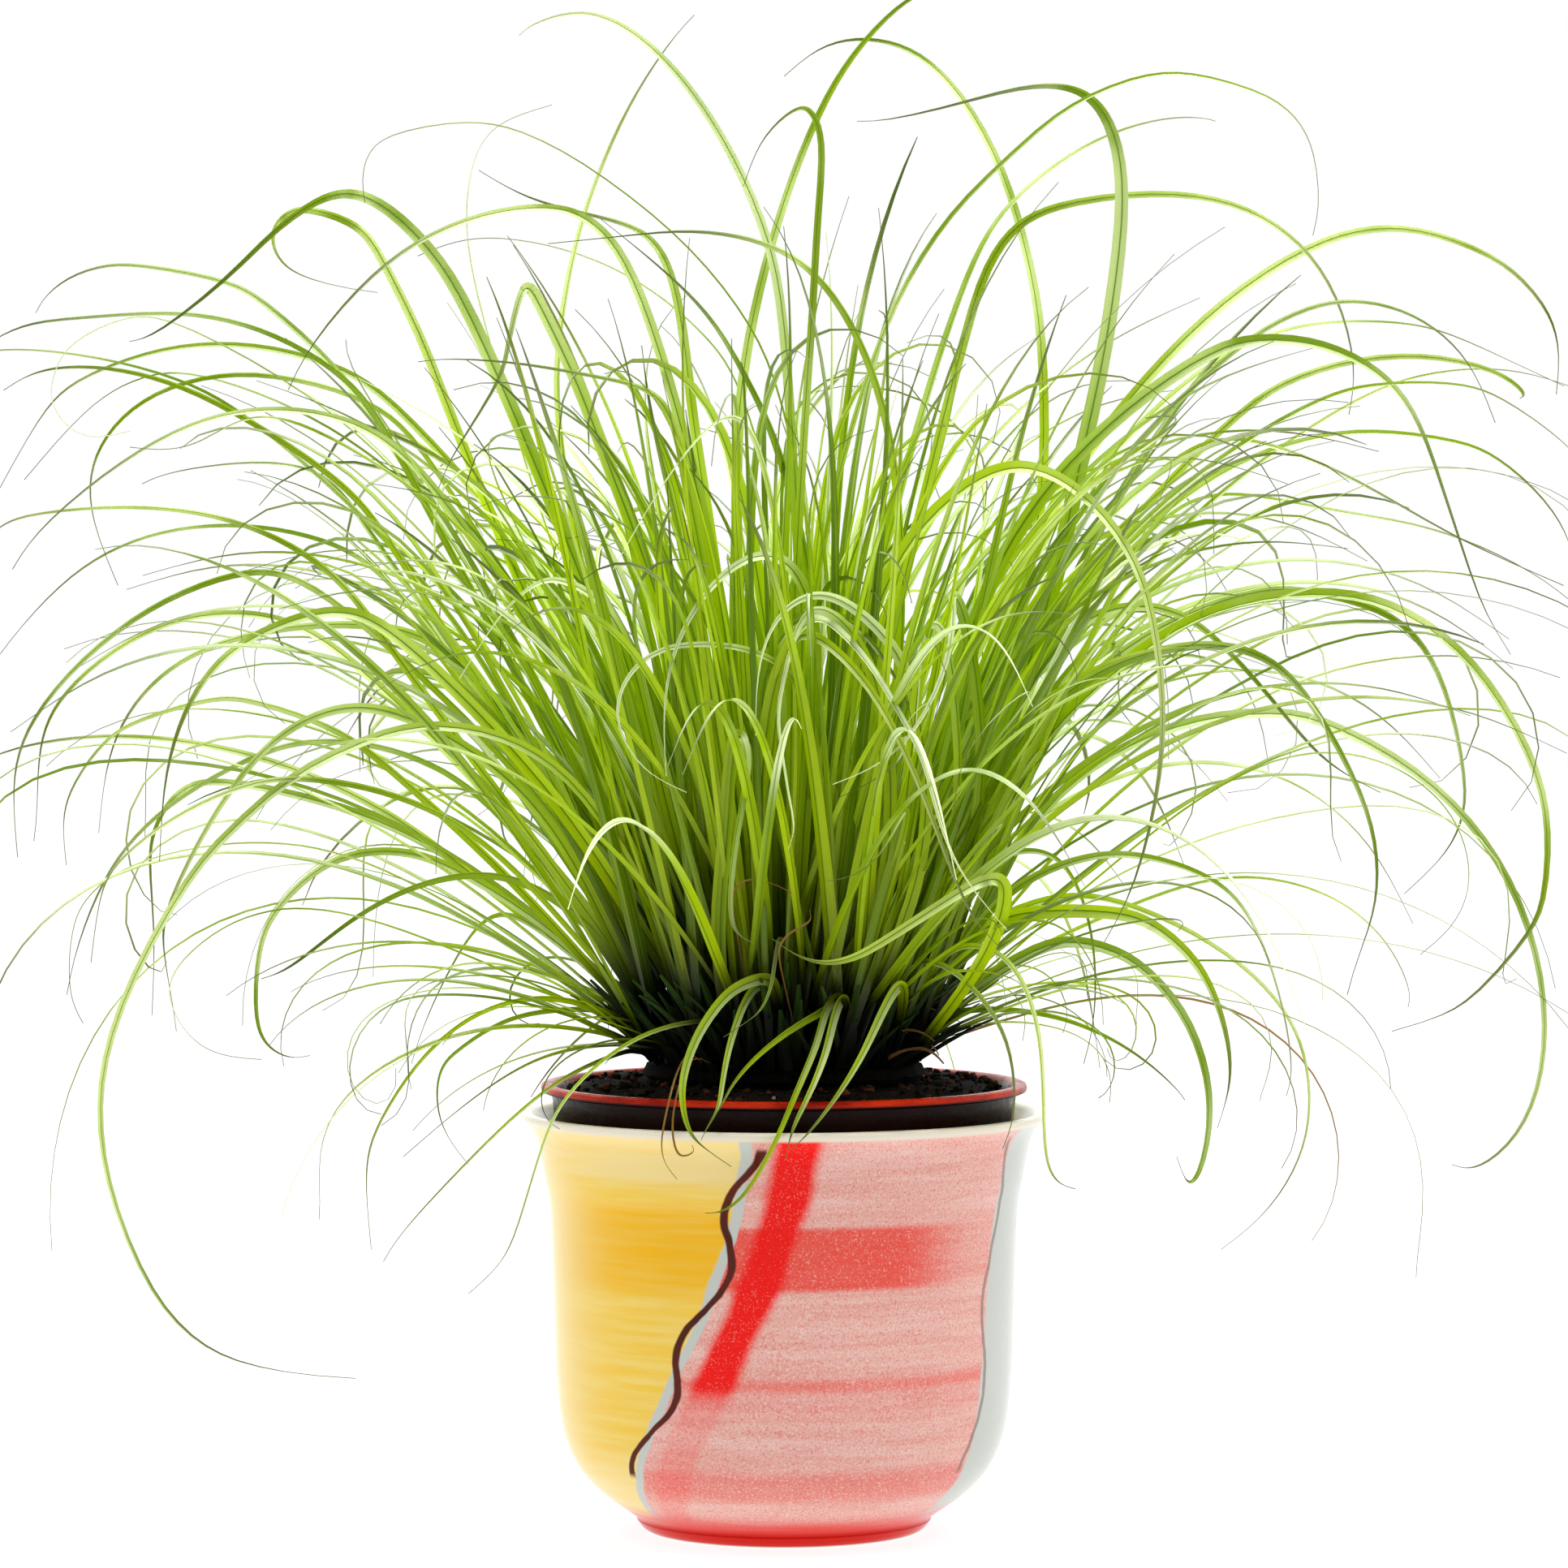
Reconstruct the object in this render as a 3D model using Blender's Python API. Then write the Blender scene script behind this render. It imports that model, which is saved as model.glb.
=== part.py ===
"""Potted cat grass: a tuft of long, curling blades in a plastic nursery pot that stands in a glazed
ceramic pot. Metres, +Z up, the origin at the centre of the ceramic pot's foot, the best-known side
towards -Y. Run with blender --background --python part.py."""

import math

import bmesh
import bpy
from mathutils import Vector
from mathutils.bvhtree import BVHTree

MM = 0.001

# Driving dimensions of the pots, in millimetres.
SIDES = 36
FOOT_RADIUS = 33.0
POT_RIM_RADIUS = 65.3
POT_HEIGHT = 103.4
FLOOR_TOP = 7.5
NURSERY_BASE = 7.8
NURSERY_BASE_RADIUS = 35.0
FLANGE_RADIUS = 60.0
FLANGE_THICKNESS = 2.2
NURSERY_TOP = 110.4
COLLAR_RADIUS = 57.3
NURSERY_WALL = 1.2
CLEARANCE = 0.4
SOIL_TOP = 111.0
SOIL_EDGE = 108.6

# Outer outline of the ceramic pot from the foot to under the lip, and inner outline back down.
POT_OUTSIDE = ((36.4, 2.6), (37.2, 4.0), (44.6, 9.2), (50.2, 15.0), (53.5, 21.5), (55.3, 29.0),
               (56.3, 40.0), (56.8, 56.0), (57.6, 78.0), (59.0, 87.0), (61.2, 97.6), (64.6, 101.6))
POT_INSIDE = ((61.2, 102.6), (57.9, 98.0), (54.6, 86.0), (53.3, 74.0), (52.6, 48.0), (50.9, 29.0),
              (45.6, 15.2), (36.0, FLOOR_TOP))

# Driving dimensions of the plant, in millimetres.
CROWN_RADIUS = 35.0
CROWN_EDGE = 114.5
CROWN_TOP = 121.0
CROWN_GAP = 0.6
SITE_COUNT = 56
SITE_RADIUS = 32.0
GOLDEN_ANGLE = math.radians(137.508)
SHEATH_START = 5.0
LONG_LEAF_STATIONS = 14
SHOOT_LEAF_STATIONS = 8
BEND_RADIUS = 60.0
TIP_WIDTH = 0.5

# The curves of the long leaves are seen from this point, which keeps a curve's outline when the
# leaf leans nearer or farther.
EYE_DISTANCE = 1570.0
EYE_HEIGHT = 237.0

# A shoot is a sheath with four blades. Each blade: the bearing it turns to from outward, its lean
# as a share of the shoot's, how far it bends over, all in degrees, then its length and width.
SHOOT_LEAN = math.radians(56)
SHEATH_LENGTH = 12.0
SHEATH_HALF = 1.3
LEAST_LEAN = math.radians(5)
SHOOT_BLADES = (
    (0, 1.10, 95, 205, 3.0),
    (34, 0.85, 75, 190, 2.4),
    (180, -0.40, -60, 190, 2.8),
    (-34, 0.80, 100, 195, 2.2),
)

# A blade that would touch one already placed is tried again, a long one a little nearer or
# farther and one on a shoot turned, until this gap is free around it.
DEPTH_TRIES = [side * 6 * k for k in range(8) for side in (1, -1)]
TURN_TRIES = [side * 4 * k for k in range(12) for side in (1, -1)]
BLADE_GAP = 0.3

# The long leaves, one by one: greatest width, depth of the tip behind the pot's axis, and the
# curve of the leaf as (across, up) places in the plane through the pot's axis.
LONG_LEAVES = (
    # Left, tall and broad, bent over at the top.
    (4.0, -35, (
        (-64, 270), (-78, 302), (-86, 315), (-99, 328), (-111, 331), (-126, 320), (-136, 309),
        (-155, 294), (-161, 293))),
    # Left, curls into a loop.
    (2.8, 30, (
        (-83, 277), (-88, 292), (-99, 314), (-104, 322), (-117, 326), (-122, 325), (-127, 320),
        (-124, 310), (-108, 306), (-100, 305))),
    # Left, low arch that leaves far to the side.
    (2.8, 15, (
        (-86, 249), (-97, 270), (-106, 284), (-126, 296), (-147, 301), (-171, 299), (-185, 298),
        (-194, 294), (-202, 288))),
    # Left, even arch.
    (2.6, -20, (
        (-94, 239), (-104, 255), (-122, 268), (-144, 281), (-164, 287), (-183, 287), (-192, 281))),
    # Left rear, even arch that droops.
    (2.4, 90, (
        (-94, 277), (-108, 287), (-131, 293), (-153, 292), (-174, 284), (-182, 277), (-193, 257))),
    # Left front, even arch that droops.
    (2.4, -70, (
        (-82, 253), (-98, 271), (-118, 277), (-140, 276), (-162, 265), (-184, 247), (-190, 237))),
    # Upper left, bent over at the top.
    (3.2, 45, (
        (-17, 237), (-19, 252), (-23, 277), (-25, 300), (-30, 318), (-41, 323), (-62, 327),
        (-75, 335))),
    # Far left, flat arch.
    (2.2, -25, (
        (-98, 219), (-108, 234), (-122, 244), (-140, 251), (-162, 253), (-185, 251), (-194, 248),
        (-200, 239))),
    # Far left rear, flat arch that droops.
    (2.4, 85, (
        (-94, 231), (-106, 243), (-131, 249), (-155, 247), (-174, 238), (-188, 223), (-194, 215))),
    # Top left, straight.
    (2.8, 70, (
        (-56, 270), (-56, 292), (-52, 315), (-47, 331), (-38, 352), (-27, 368), (-22, 373))),
    # Top, tall, bent back to the left.
    (3.0, -15, (
        (4, 237), (3, 252), (2, 270), (1, 286), (-1, 307), (-5, 322), (-13, 340), (-24, 357),
        (-36, 369), (-49, 375), (-62, 371), (-65, 368))),
    # Top, the tallest.
    (3.0, 25, (
        (-12, 257), (-11, 281), (-7, 303), (-1, 325), (6, 344), (14, 360), (25, 373), (36, 381),
        (53, 380))),
    # Top right rear, bent over to the left.
    (3.0, 60, (
        (62, 241), (64, 261), (64, 279), (63, 300), (59, 318), (54, 335), (45, 352), (34, 364),
        (21, 368), (9, 366), (0, 358))),
    # Top right, the broadest, bent over to the left.
    (4.6, -30, (
        (68, 237), (72, 260), (78, 285), (82, 310), (84, 333), (80, 349), (72, 356), (59, 356),
        (42, 351), (25, 347), (18, 347))),
    # Top right, bent over to the right.
    (2.6, 35, (
        (33, 273), (40, 295), (48, 317), (57, 329), (74, 342), (92, 348), (103, 348), (106, 347))),
    # Top front, bent over to the left.
    (3.2, -80, (
        (29, 257), (24, 281), (16, 300), (3, 316), (-20, 321), (-38, 319), (-58, 317))),
    # Front, broad arch that falls to the right.
    (4.0, -110, (
        (18, 211), (23, 231), (34, 250), (53, 264), (67, 261), (79, 251), (88, 237), (92, 220),
        (94, 200), (92, 179), (86, 157), (79, 145))),
    # Right, tall arch that droops.
    (3.0, 40, (
        (64, 249), (75, 267), (95, 291), (112, 306), (128, 316), (142, 321), (157, 321),
        (175, 314), (183, 307), (189, 299), (191, 290), (190, 280))),
    # Right, bent over high up.
    (2.6, -20, (
        (44, 293), (49, 311), (58, 324), (74, 328), (94, 330), (113, 327), (128, 317),
        (137, 303), (141, 286), (139, 275))),
    # Right, broad, falls steeply.
    (4.0, -60, (
        (102, 291), (117, 294), (132, 293), (147, 286), (156, 275), (162, 257), (167, 242),
        (172, 227), (179, 216))),
    # Right rear, flat arch.
    (2.4, 60, (
        (94, 281), (114, 293), (130, 298), (150, 298), (162, 296), (179, 288), (192, 282))),
    # Right, low arch.
    (2.4, 10, (
        (96, 255), (119, 267), (141, 272), (164, 269), (174, 266), (186, 256), (193, 246),
        (195, 237))),
    # Far right, long, hooks back under.
    (3.6, -45, (
        (90, 220), (110, 229), (132, 232), (150, 229), (168, 217), (181, 198), (189, 179),
        (188, 157), (185, 148), (172, 133), (164, 127), (150, 123))),
    # Far right rear, long, hooks back under.
    (2.8, 40, (
        (96, 200), (119, 202), (131, 201), (153, 190), (169, 176), (181, 158), (188, 135),
        (188, 113), (182, 97), (171, 88), (165, 90))),
    # Right front, falls steeply.
    (2.8, -75, (
        (100, 221), (121, 216), (131, 203), (139, 189), (146, 173), (147, 155), (141, 140),
        (139, 132))),
    # Low right front, broad arch.
    (4.2, -50, (
        (48, 147), (56, 153), (82, 153), (91, 150), (103, 140), (109, 125), (111, 111), (107, 99))),
    # Low right, ends in a small hook.
    (3.2, 20, (
        (48, 135), (59, 142), (69, 146), (79, 144), (88, 140), (100, 127), (106, 108), (104, 91),
        (100, 83), (97, 92))),
    # Low right rear, wide bow.
    (2.2, 60, (
        (56, 153), (69, 157), (82, 156), (105, 146), (123, 131), (130, 115), (130, 95),
        (120, 78), (108, 69))),
    # Left, wide bow.
    (2.6, -30, (
        (-100, 221), (-118, 235), (-131, 238), (-153, 230), (-170, 218), (-184, 203),
        (-191, 188), (-189, 166))),
    # Left rear, flat.
    (2.6, 75, (
        (-74, 159), (-88, 171), (-106, 182), (-128, 191), (-153, 196), (-176, 196), (-194, 192),
        (-202, 187))),
    # Left front, broad, falls steeply.
    (3.8, -60, (
        (-82, 209), (-99, 224), (-108, 227), (-118, 226), (-135, 219), (-146, 207), (-153, 188),
        (-154, 165))),
    # Left front, the longest, trails beside the pot.
    (2.6, -90, (
        (-86, 201), (-106, 194), (-122, 186), (-136, 173), (-144, 165), (-153, 151), (-163, 132),
        (-170, 110), (-168, 86), (-159, 63), (-151, 51), (-140, 42), (-122, 38), (-106, 37))),
    # Low left, curls under.
    (2.4, 45, (
        (-70, 157), (-86, 166), (-97, 168), (-107, 167), (-116, 163), (-126, 153), (-130, 144),
        (-131, 126), (-128, 119), (-122, 116), (-117, 117))),
    # Low left front, hangs beside the pot.
    (2.4, -65, (
        (-42, 127), (-54, 132), (-71, 131), (-88, 120), (-101, 100), (-104, 89), (-102, 69))),
    # Low front, hangs over the pot's right side.
    (3.2, -74, (
        (23, 124), (27, 135), (31, 141), (41, 140), (53, 127), (57, 114), (57, 101), (54, 94))),
    # Front, arches over and falls to the right.
    (3.6, -100, (
        (-4, 185), (-1, 211), (1, 219), (6, 223), (19, 212), (29, 195), (37, 175), (45, 152),
        (53, 144))),
)


def through(points, steps):
    """A smooth line through the points, with this many pieces between each two (Catmull-Rom)."""
    line = []
    for i in range(len(points) - 1):
        p0 = Vector(points[max(i - 1, 0)])
        p1 = Vector(points[i])
        p2 = Vector(points[i + 1])
        p3 = Vector(points[min(i + 2, len(points) - 1)])
        for k in range(steps):
            t = k / steps
            line.append(0.5 * (2 * p1 + (p2 - p0) * t + (2 * p0 - 5 * p1 + 4 * p2 - p3) * t**2
                               + (3 * p1 - p0 - 3 * p2 + p3) * t**3))
    line.append(Vector(points[-1]))
    return line


def spline(points, steps):
    """A cubic B-spline that starts and ends on the first and last point."""
    held = [2 * points[0] - points[1], *points, 2 * points[-1] - points[-2]]
    line = []
    for i in range(len(held) - 3):
        a, b, c, d = held[i:i + 4]
        for k in range(steps):
            t = k / steps
            line.append((a * (1 - t)**3 + b * (3 * t**3 - 6 * t**2 + 4)
                         + c * (3 * t + 3 * t**2 - 3 * t**3 + 1) + d * t**3) / 6)
    line.append(points[-1].copy())
    return line


def stations(line, count):
    """Count + 1 places along a line, closer together where it bends."""
    effort = [0.0]
    for i in range(1, len(line)):
        step = line[i] - line[i - 1]
        turn = step.angle(line[i - 1] - line[i - 2], 0.0) if i > 1 else 0.0
        effort.append(effort[-1] + step.length + BEND_RADIUS * turn)
    places = []
    i = 1
    for k in range(count + 1):
        goal = effort[-1] * k / count
        while i < len(line) - 1 and effort[i] < goal:
            i += 1
        share = (goal - effort[i - 1]) / max(effort[i] - effort[i - 1], 1e-9)
        places.append(line[i - 1].lerp(line[i], min(max(share, 0.0), 1.0)))
    return places


def blade_width(share, width):
    """A blade is narrow in its sheath, widest at a quarter of its length and ends in a hair."""
    return max(width * (0.6 + 0.4 * min(share / 0.2, 1.0)) * (1 - share**2.2), TIP_WIDTH)


def blade_rings(line, count, width, across, twist):
    """Three-cornered sections along the line (edge, edge, midrib), and the tip."""
    places = stations(line, count)
    rings = []
    for k in range(count):
        before = places[max(k - 1, 0)]
        along = (places[k + 1] - before).normalized() if k else Vector((0, 0, 1))
        flat = (across - along * across.dot(along)).normalized()
        share = k / count
        turn = twist(share)
        side = flat * math.cos(turn) + along.cross(flat) * math.sin(turn)
        half = 0.5 * blade_width(share, width)
        rib = along.cross(side) * (0.4 * half + 0.3)
        rings.append([places[k] - side * half, places[k] + side * half, places[k] + rib])
    return rings, places[count]


def prism_walls(mesh, low, high):
    """The base and the walls between two rings; gives back the upper ring's vertices."""
    bottom = [mesh.verts.new(place * MM) for place in low]
    top = [mesh.verts.new(place * MM) for place in high]
    mesh.faces.new(bottom[::-1])
    for i in range(len(low)):
        j = (i + 1) % len(low)
        mesh.faces.new((bottom[i], bottom[j], top[j], top[i]))
    return top


def grow_blade(mesh, face, rings, tip):
    """Extrudes the face from ring to ring and draws it to a point at the tip."""
    for ring in rings:
        face = bmesh.ops.extrude_discrete_faces(mesh, faces=[face])["faces"][0]
        for vert, place in zip(face.verts, ring):
            vert.co = place * MM
    bmesh.ops.pointmerge(mesh, verts=list(face.verts), merge_co=tip * MM)


def add_object(name, mesh, material, sharp_deg=40):
    """The finished mesh as a named, smooth-shaded object."""
    bmesh.ops.recalc_face_normals(mesh, faces=mesh.faces)
    data = bpy.data.meshes.new(name)
    mesh.to_mesh(data)
    mesh.free()
    data.shade_smooth()
    data.set_sharp_from_angle(angle=math.radians(sharp_deg))
    data.materials.append(material)
    thing = bpy.data.objects.new(name, data)
    bpy.context.scene.collection.objects.link(thing)
    return thing


def turned(name, outline, material, sides=SIDES):
    """A solid of revolution from a (radius, height) outline that starts and ends on the axis."""
    mesh = bmesh.new()
    verts = [mesh.verts.new((radius * MM, 0, height * MM)) for radius, height in outline]
    edges = [mesh.edges.new(pair) for pair in zip(verts, verts[1:])]
    bmesh.ops.spin(mesh, geom=verts + edges, cent=(0, 0, 0), axis=(0, 0, 1), dvec=(0, 0, 0),
                   angle=math.tau, steps=sides, use_merge=True)
    bmesh.ops.remove_doubles(mesh, verts=mesh.verts, dist=1e-6)
    return add_object(name, mesh, material)


def surface(name, color, roughness):
    material = bpy.data.materials.new(name)
    material.use_nodes = True
    shader = material.node_tree.nodes["Principled BSDF"]
    shader.inputs["Base Color"].default_value = (*color, 1.0)
    shader.inputs["Roughness"].default_value = roughness
    return material


def outer_pot():
    """Glazed ceramic pot: a low foot, a round belly, a straight wall and a flared, rounded lip."""
    lip = [(POT_RIM_RADIUS, 102.3), (POT_RIM_RADIUS, 103.0), (64.6, POT_HEIGHT), (62.6, POT_HEIGHT)]
    outline = [(0, 0), (FOOT_RADIUS, 0), (34.6, 0.5), *through(POT_OUTSIDE, 1), *lip,
               *POT_INSIDE, (0, FLOOR_TOP)]
    return turned("outer_pot", outline, surface("glazed_ceramic", (0.90, 0.66, 0.45), 0.12))


def nursery_pot():
    """Thin plastic pot with a tapered wall, a wider collar and a turned-out flange."""
    base = NURSERY_BASE
    inner = NURSERY_TOP - 1.0
    outline = [(0, base), (NURSERY_BASE_RADIUS - 1, base), (NURSERY_BASE_RADIUS, base + 1),
               (52.4, 84.0), (53.4, 96.0), (56.4, 98.6),
               (COLLAR_RADIUS, NURSERY_TOP - FLANGE_THICKNESS),
               (FLANGE_RADIUS - 0.6, NURSERY_TOP - FLANGE_THICKNESS),
               (FLANGE_RADIUS, inner), (FLANGE_RADIUS - 0.8, NURSERY_TOP),
               (COLLAR_RADIUS - 0.4, NURSERY_TOP), (COLLAR_RADIUS - NURSERY_WALL, inner),
               (56.4 - NURSERY_WALL, 99.2), (53.4 - NURSERY_WALL, 97.0), (52.4 - NURSERY_WALL, 84.0),
               (NURSERY_BASE_RADIUS - NURSERY_WALL, base + NURSERY_WALL), (0, base + NURSERY_WALL)]
    return turned("nursery_pot", outline, surface("terracotta_plastic", (0.42, 0.06, 0.03), 0.4))


def soil():
    """Peat that fills the nursery pot and mounds a little towards the plant."""
    wall = NURSERY_WALL + CLEARANCE
    low = NURSERY_BASE + wall
    outline = [(0, low), (NURSERY_BASE_RADIUS - wall, low), (52.4 - wall, 84.0), (53.4 - wall, 97.6),
               (56.2 - wall, 100.0), (56.6 - wall, SOIL_EDGE - 0.8), (55.6 - wall, SOIL_EDGE),
               (47.0, 110.2), (CROWN_RADIUS + 3, SOIL_TOP), (0, SOIL_TOP)]
    return turned("soil", outline, surface("dark_peat", (0.018, 0.011, 0.008), 0.95))


def crown_height(radius):
    """Height of the crown's upper surface at this distance from the axis."""
    return CROWN_EDGE + (CROWN_TOP - CROWN_EDGE) * (1 - (radius / CROWN_RADIUS)**2)


def crown():
    """The close mass of sheath bases and roots that the shoots rise from."""
    low = SOIL_TOP + CLEARANCE
    dome = [(r, crown_height(r)) for r in (CROWN_RADIUS - 1, 26, 17, 8, 0)]
    outline = [(0, low), (CROWN_RADIUS - 2, low), (CROWN_RADIUS, CROWN_EDGE - 1.4), *dome]
    return turned("crown", outline, surface("dark_sheaths", (0.03, 0.04, 0.012), 0.8), sides=28)


def growing_sites():
    """Evenly spread places on the crown, in a sunflower pattern."""
    for i in range(SITE_COUNT):
        radius = SITE_RADIUS * math.sqrt((i + 0.5) / SITE_COUNT)
        turn = i * GOLDEN_ANGLE
        height = crown_height(radius) + CROWN_GAP
        yield Vector((radius * math.cos(turn), radius * math.sin(turn), height))


def take_site(free, wish):
    """The free site nearest to the wished one, which is then no longer free."""
    site = min(free, key=lambda place: (place.xy - wish).length)
    free.remove(site)
    return site


def wished_site(depth, points):
    """A blade that leans far to a side grows from that side of the crown."""
    x, z = points[0]
    wish = Vector((1.15 * x / (z - SOIL_TOP), depth / 90))
    return wish * SITE_RADIUS / max(wish.length, 1.0)


def seen_at(x, z, y):
    """The place at depth y that covers the place (x, z) of the plane through the pot's axis."""
    scale = 1 + y / EYE_DISTANCE
    return Vector((x * scale, y, EYE_HEIGHT + (z - EYE_HEIGHT) * scale))


def long_leaf_line(site, depth, points):
    """Rises from the crown to the first point of the curve, then follows the curve."""
    start = Vector((site.x, site.z))
    flat = [start, *(Vector(p) for p in points)]
    reach = [0.0]
    for a, b in zip(flat, flat[1:]):
        reach.append(reach[-1] + (b - a).length)
    curve = []
    for place, run in zip(flat[1:], reach[1:]):
        curve.append(seen_at(place.x, place.y, site.y + (depth - site.y) * run / reach[-1]))
    gap = curve[0] - site
    leave = (gap.normalized() + Vector((0, 0, 0.35))).normalized()
    arrive = (curve[1] - curve[0]).normalized()
    rise = [site, site + Vector((0, 0, SHEATH_START))]
    for t in (0.3, 0.65):
        pull = 0.38 * gap.length
        rise.append(site * (1 - t)**3 + (site + leave * pull) * 3 * t * (1 - t)**2
                    + (curve[0] - arrive * pull) * 3 * t**2 * (1 - t) + curve[0] * t**3)
    return spline(rise + curve, 6)


def tree_of(rings):
    """A tree that tells what the walls between these rings touch."""
    corners = len(rings[0])
    places = [place for ring in rings for place in ring]
    walls = []
    for first in range(0, len(places) - corners, corners):
        for i in range(corners):
            j = (i + 1) % corners
            walls.append((first + i, first + j, first + corners + j, first + corners + i))
    return BVHTree.FromPolygons(places, walls, epsilon=BLADE_GAP)


def first_clear(owner, blade, tries, placed):
    """The first try at a blade that touches nothing, which is then placed. Blades of one shoot
    meet at its sheath, so between them the first stretch doesn't count."""
    for amount in tries:
        rings, tip = blade(amount)
        closed = [*rings, [tip] * len(rings[0])]
        whole = tree_of(closed)
        upper = tree_of(closed[1:])
        touches = any(upper.overlap(other_upper) if name == owner else whole.overlap(other)
                      for name, other, other_upper in placed)
        if not touches:
            placed.append((owner, whole, upper))
            return rings, tip
    raise RuntimeError(f"{owner} finds no clear place")


def long_leaf(name, number, site, leaf, placed):
    """One long blade, turned so that its width shows from the front along most of its length."""
    width, depth, points = leaf

    def twist(share):
        return math.radians(75 + 30 * math.sin(3 * share + number))

    def blade(shift):
        line = long_leaf_line(site, depth + shift, points)
        return blade_rings(line, LONG_LEAF_STATIONS, width, Vector((0, 1, 0)), twist)

    rings, tip = first_clear(name, blade, DEPTH_TRIES, placed)
    mesh = bmesh.new()
    face = mesh.faces.new(prism_walls(mesh, rings[0], rings[1]))
    grow_blade(mesh, face, rings[2:], tip)
    return mesh


def arching_line(start, bearing, lean, bend, length):
    """A blade that starts at this lean from upright and bends over more and more."""
    outward = Vector((math.cos(bearing), math.sin(bearing), 0))
    count = 9
    points = [start]
    for k in range(count):
        share = (k + 0.5) / count
        angle = lean + bend * share**1.8
        step = outward * math.sin(angle) + Vector((0, 0, math.cos(angle)))
        points.append(points[-1] + step * length / count)
    return spline(points, 4)


def direction(bearing):
    return Vector((math.cos(bearing), math.sin(bearing), 0))


def shoot(name, number, site, placed):
    """A sheath with a blade from each of its four sides: outward, aside, upright and aside."""
    bearing = math.atan2(site.y, site.x)
    lean = SHOOT_LEAN * site.xy.length / SITE_RADIUS
    axis = direction(bearing) * math.sin(lean) + Vector((0, 0, math.cos(lean)))
    above = site + axis * SHEATH_LENGTH
    corners = [direction(bearing + math.radians(45 + 90 * k)) * SHEATH_HALF * 1.4 for k in range(4)]
    low = [site + corner for corner in corners]
    high = [above + corner - axis * corner.dot(axis) for corner in corners]
    mesh = bmesh.new()
    ring = prism_walls(mesh, low, high)
    apex = mesh.verts.new((above + axis * 2 * SHEATH_HALF) * MM)
    faces = [mesh.faces.new((ring[k - 1], ring[k], apex)) for k in range(4)]
    size = 1 + 0.14 * math.sin(2.4 * number)
    for face, (turn, share, bend, length, width) in zip(faces, SHOOT_BLADES):
        start = sum((vert.co for vert in face.verts), Vector()) / (3 * MM)
        blade_lean = lean * share + math.copysign(LEAST_LEAN, share)

        def blade(more):
            way = bearing + math.radians(turn + more)
            line = arching_line(start, way, blade_lean, math.radians(bend) * size, length * size)
            across = Vector((0, 0, 1)).cross(direction(way))
            return blade_rings(line, SHOOT_LEAF_STATIONS, width, across, lambda share: 0.0)

        rings, tip = first_clear(name, blade, TURN_TRIES, placed)
        grow_blade(mesh, face, rings[1:], tip)
    placed.append((name, tree_of([low, high]), tree_of([high, high])))
    return mesh


def build():
    for old in list(bpy.data.objects):
        bpy.data.objects.remove(old)
    outer_pot()
    nursery_pot()
    soil()
    crown()
    blade_green = surface("blade_green", (0.25, 0.42, 0.02), 0.5)
    shoot_green = surface("shoot_green", (0.18, 0.36, 0.02), 0.5)
    free = list(growing_sites())
    placed = []
    for number, leaf in enumerate(LONG_LEAVES, 1):
        name = f"long_leaf_{number:02d}"
        site = take_site(free, wished_site(leaf[1], leaf[2]))
        add_object(name, long_leaf(name, number, site, leaf, placed), blade_green, sharp_deg=60)
    for number, site in enumerate(free, 1):
        name = f"shoot_{number:02d}"
        add_object(name, shoot(name, number, site, placed), shoot_green, sharp_deg=60)


build()
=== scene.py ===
"""Looks of the potted cat grass: smooth glazed and plastic pots, damp peat and a full tuft of fine,
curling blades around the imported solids. Metres, +Z up, in the solids' own frame."""

import math

import bpy
import numpy as np
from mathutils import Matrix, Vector, noise


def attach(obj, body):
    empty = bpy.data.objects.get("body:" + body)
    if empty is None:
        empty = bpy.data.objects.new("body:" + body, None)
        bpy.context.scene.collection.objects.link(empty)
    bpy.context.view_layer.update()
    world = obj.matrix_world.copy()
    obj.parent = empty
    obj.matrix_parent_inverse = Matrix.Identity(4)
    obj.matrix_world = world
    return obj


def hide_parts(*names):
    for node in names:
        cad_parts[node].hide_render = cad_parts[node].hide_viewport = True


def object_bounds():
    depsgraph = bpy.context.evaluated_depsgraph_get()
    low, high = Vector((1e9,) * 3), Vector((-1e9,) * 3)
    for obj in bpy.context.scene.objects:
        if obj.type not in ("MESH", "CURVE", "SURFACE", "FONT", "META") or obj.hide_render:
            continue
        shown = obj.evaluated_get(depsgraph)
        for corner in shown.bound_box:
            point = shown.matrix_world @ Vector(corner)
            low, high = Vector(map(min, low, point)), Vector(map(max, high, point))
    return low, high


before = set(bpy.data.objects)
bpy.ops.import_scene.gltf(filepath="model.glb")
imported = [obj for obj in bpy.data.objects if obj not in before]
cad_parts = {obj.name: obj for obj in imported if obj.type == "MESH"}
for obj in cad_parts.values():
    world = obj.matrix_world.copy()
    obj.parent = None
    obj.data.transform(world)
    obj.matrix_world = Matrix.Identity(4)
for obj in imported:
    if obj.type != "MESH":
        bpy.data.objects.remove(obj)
solids_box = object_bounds()

MM = 0.001
TO_BACK = np.array([0.0, 1.0, 0.0])
PLANT_SEED = 20

# Camera, read from the picture: its distance and height, its tilt and its lens.
EYE_DISTANCE = 1570.0
EYE_HEIGHT = 237.0
EYE_DOWN_DEG = 1.93
LENS_MM = 146.3
SENSOR_MM = 36.0
NEAREST_SEEN = 0.05

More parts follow.
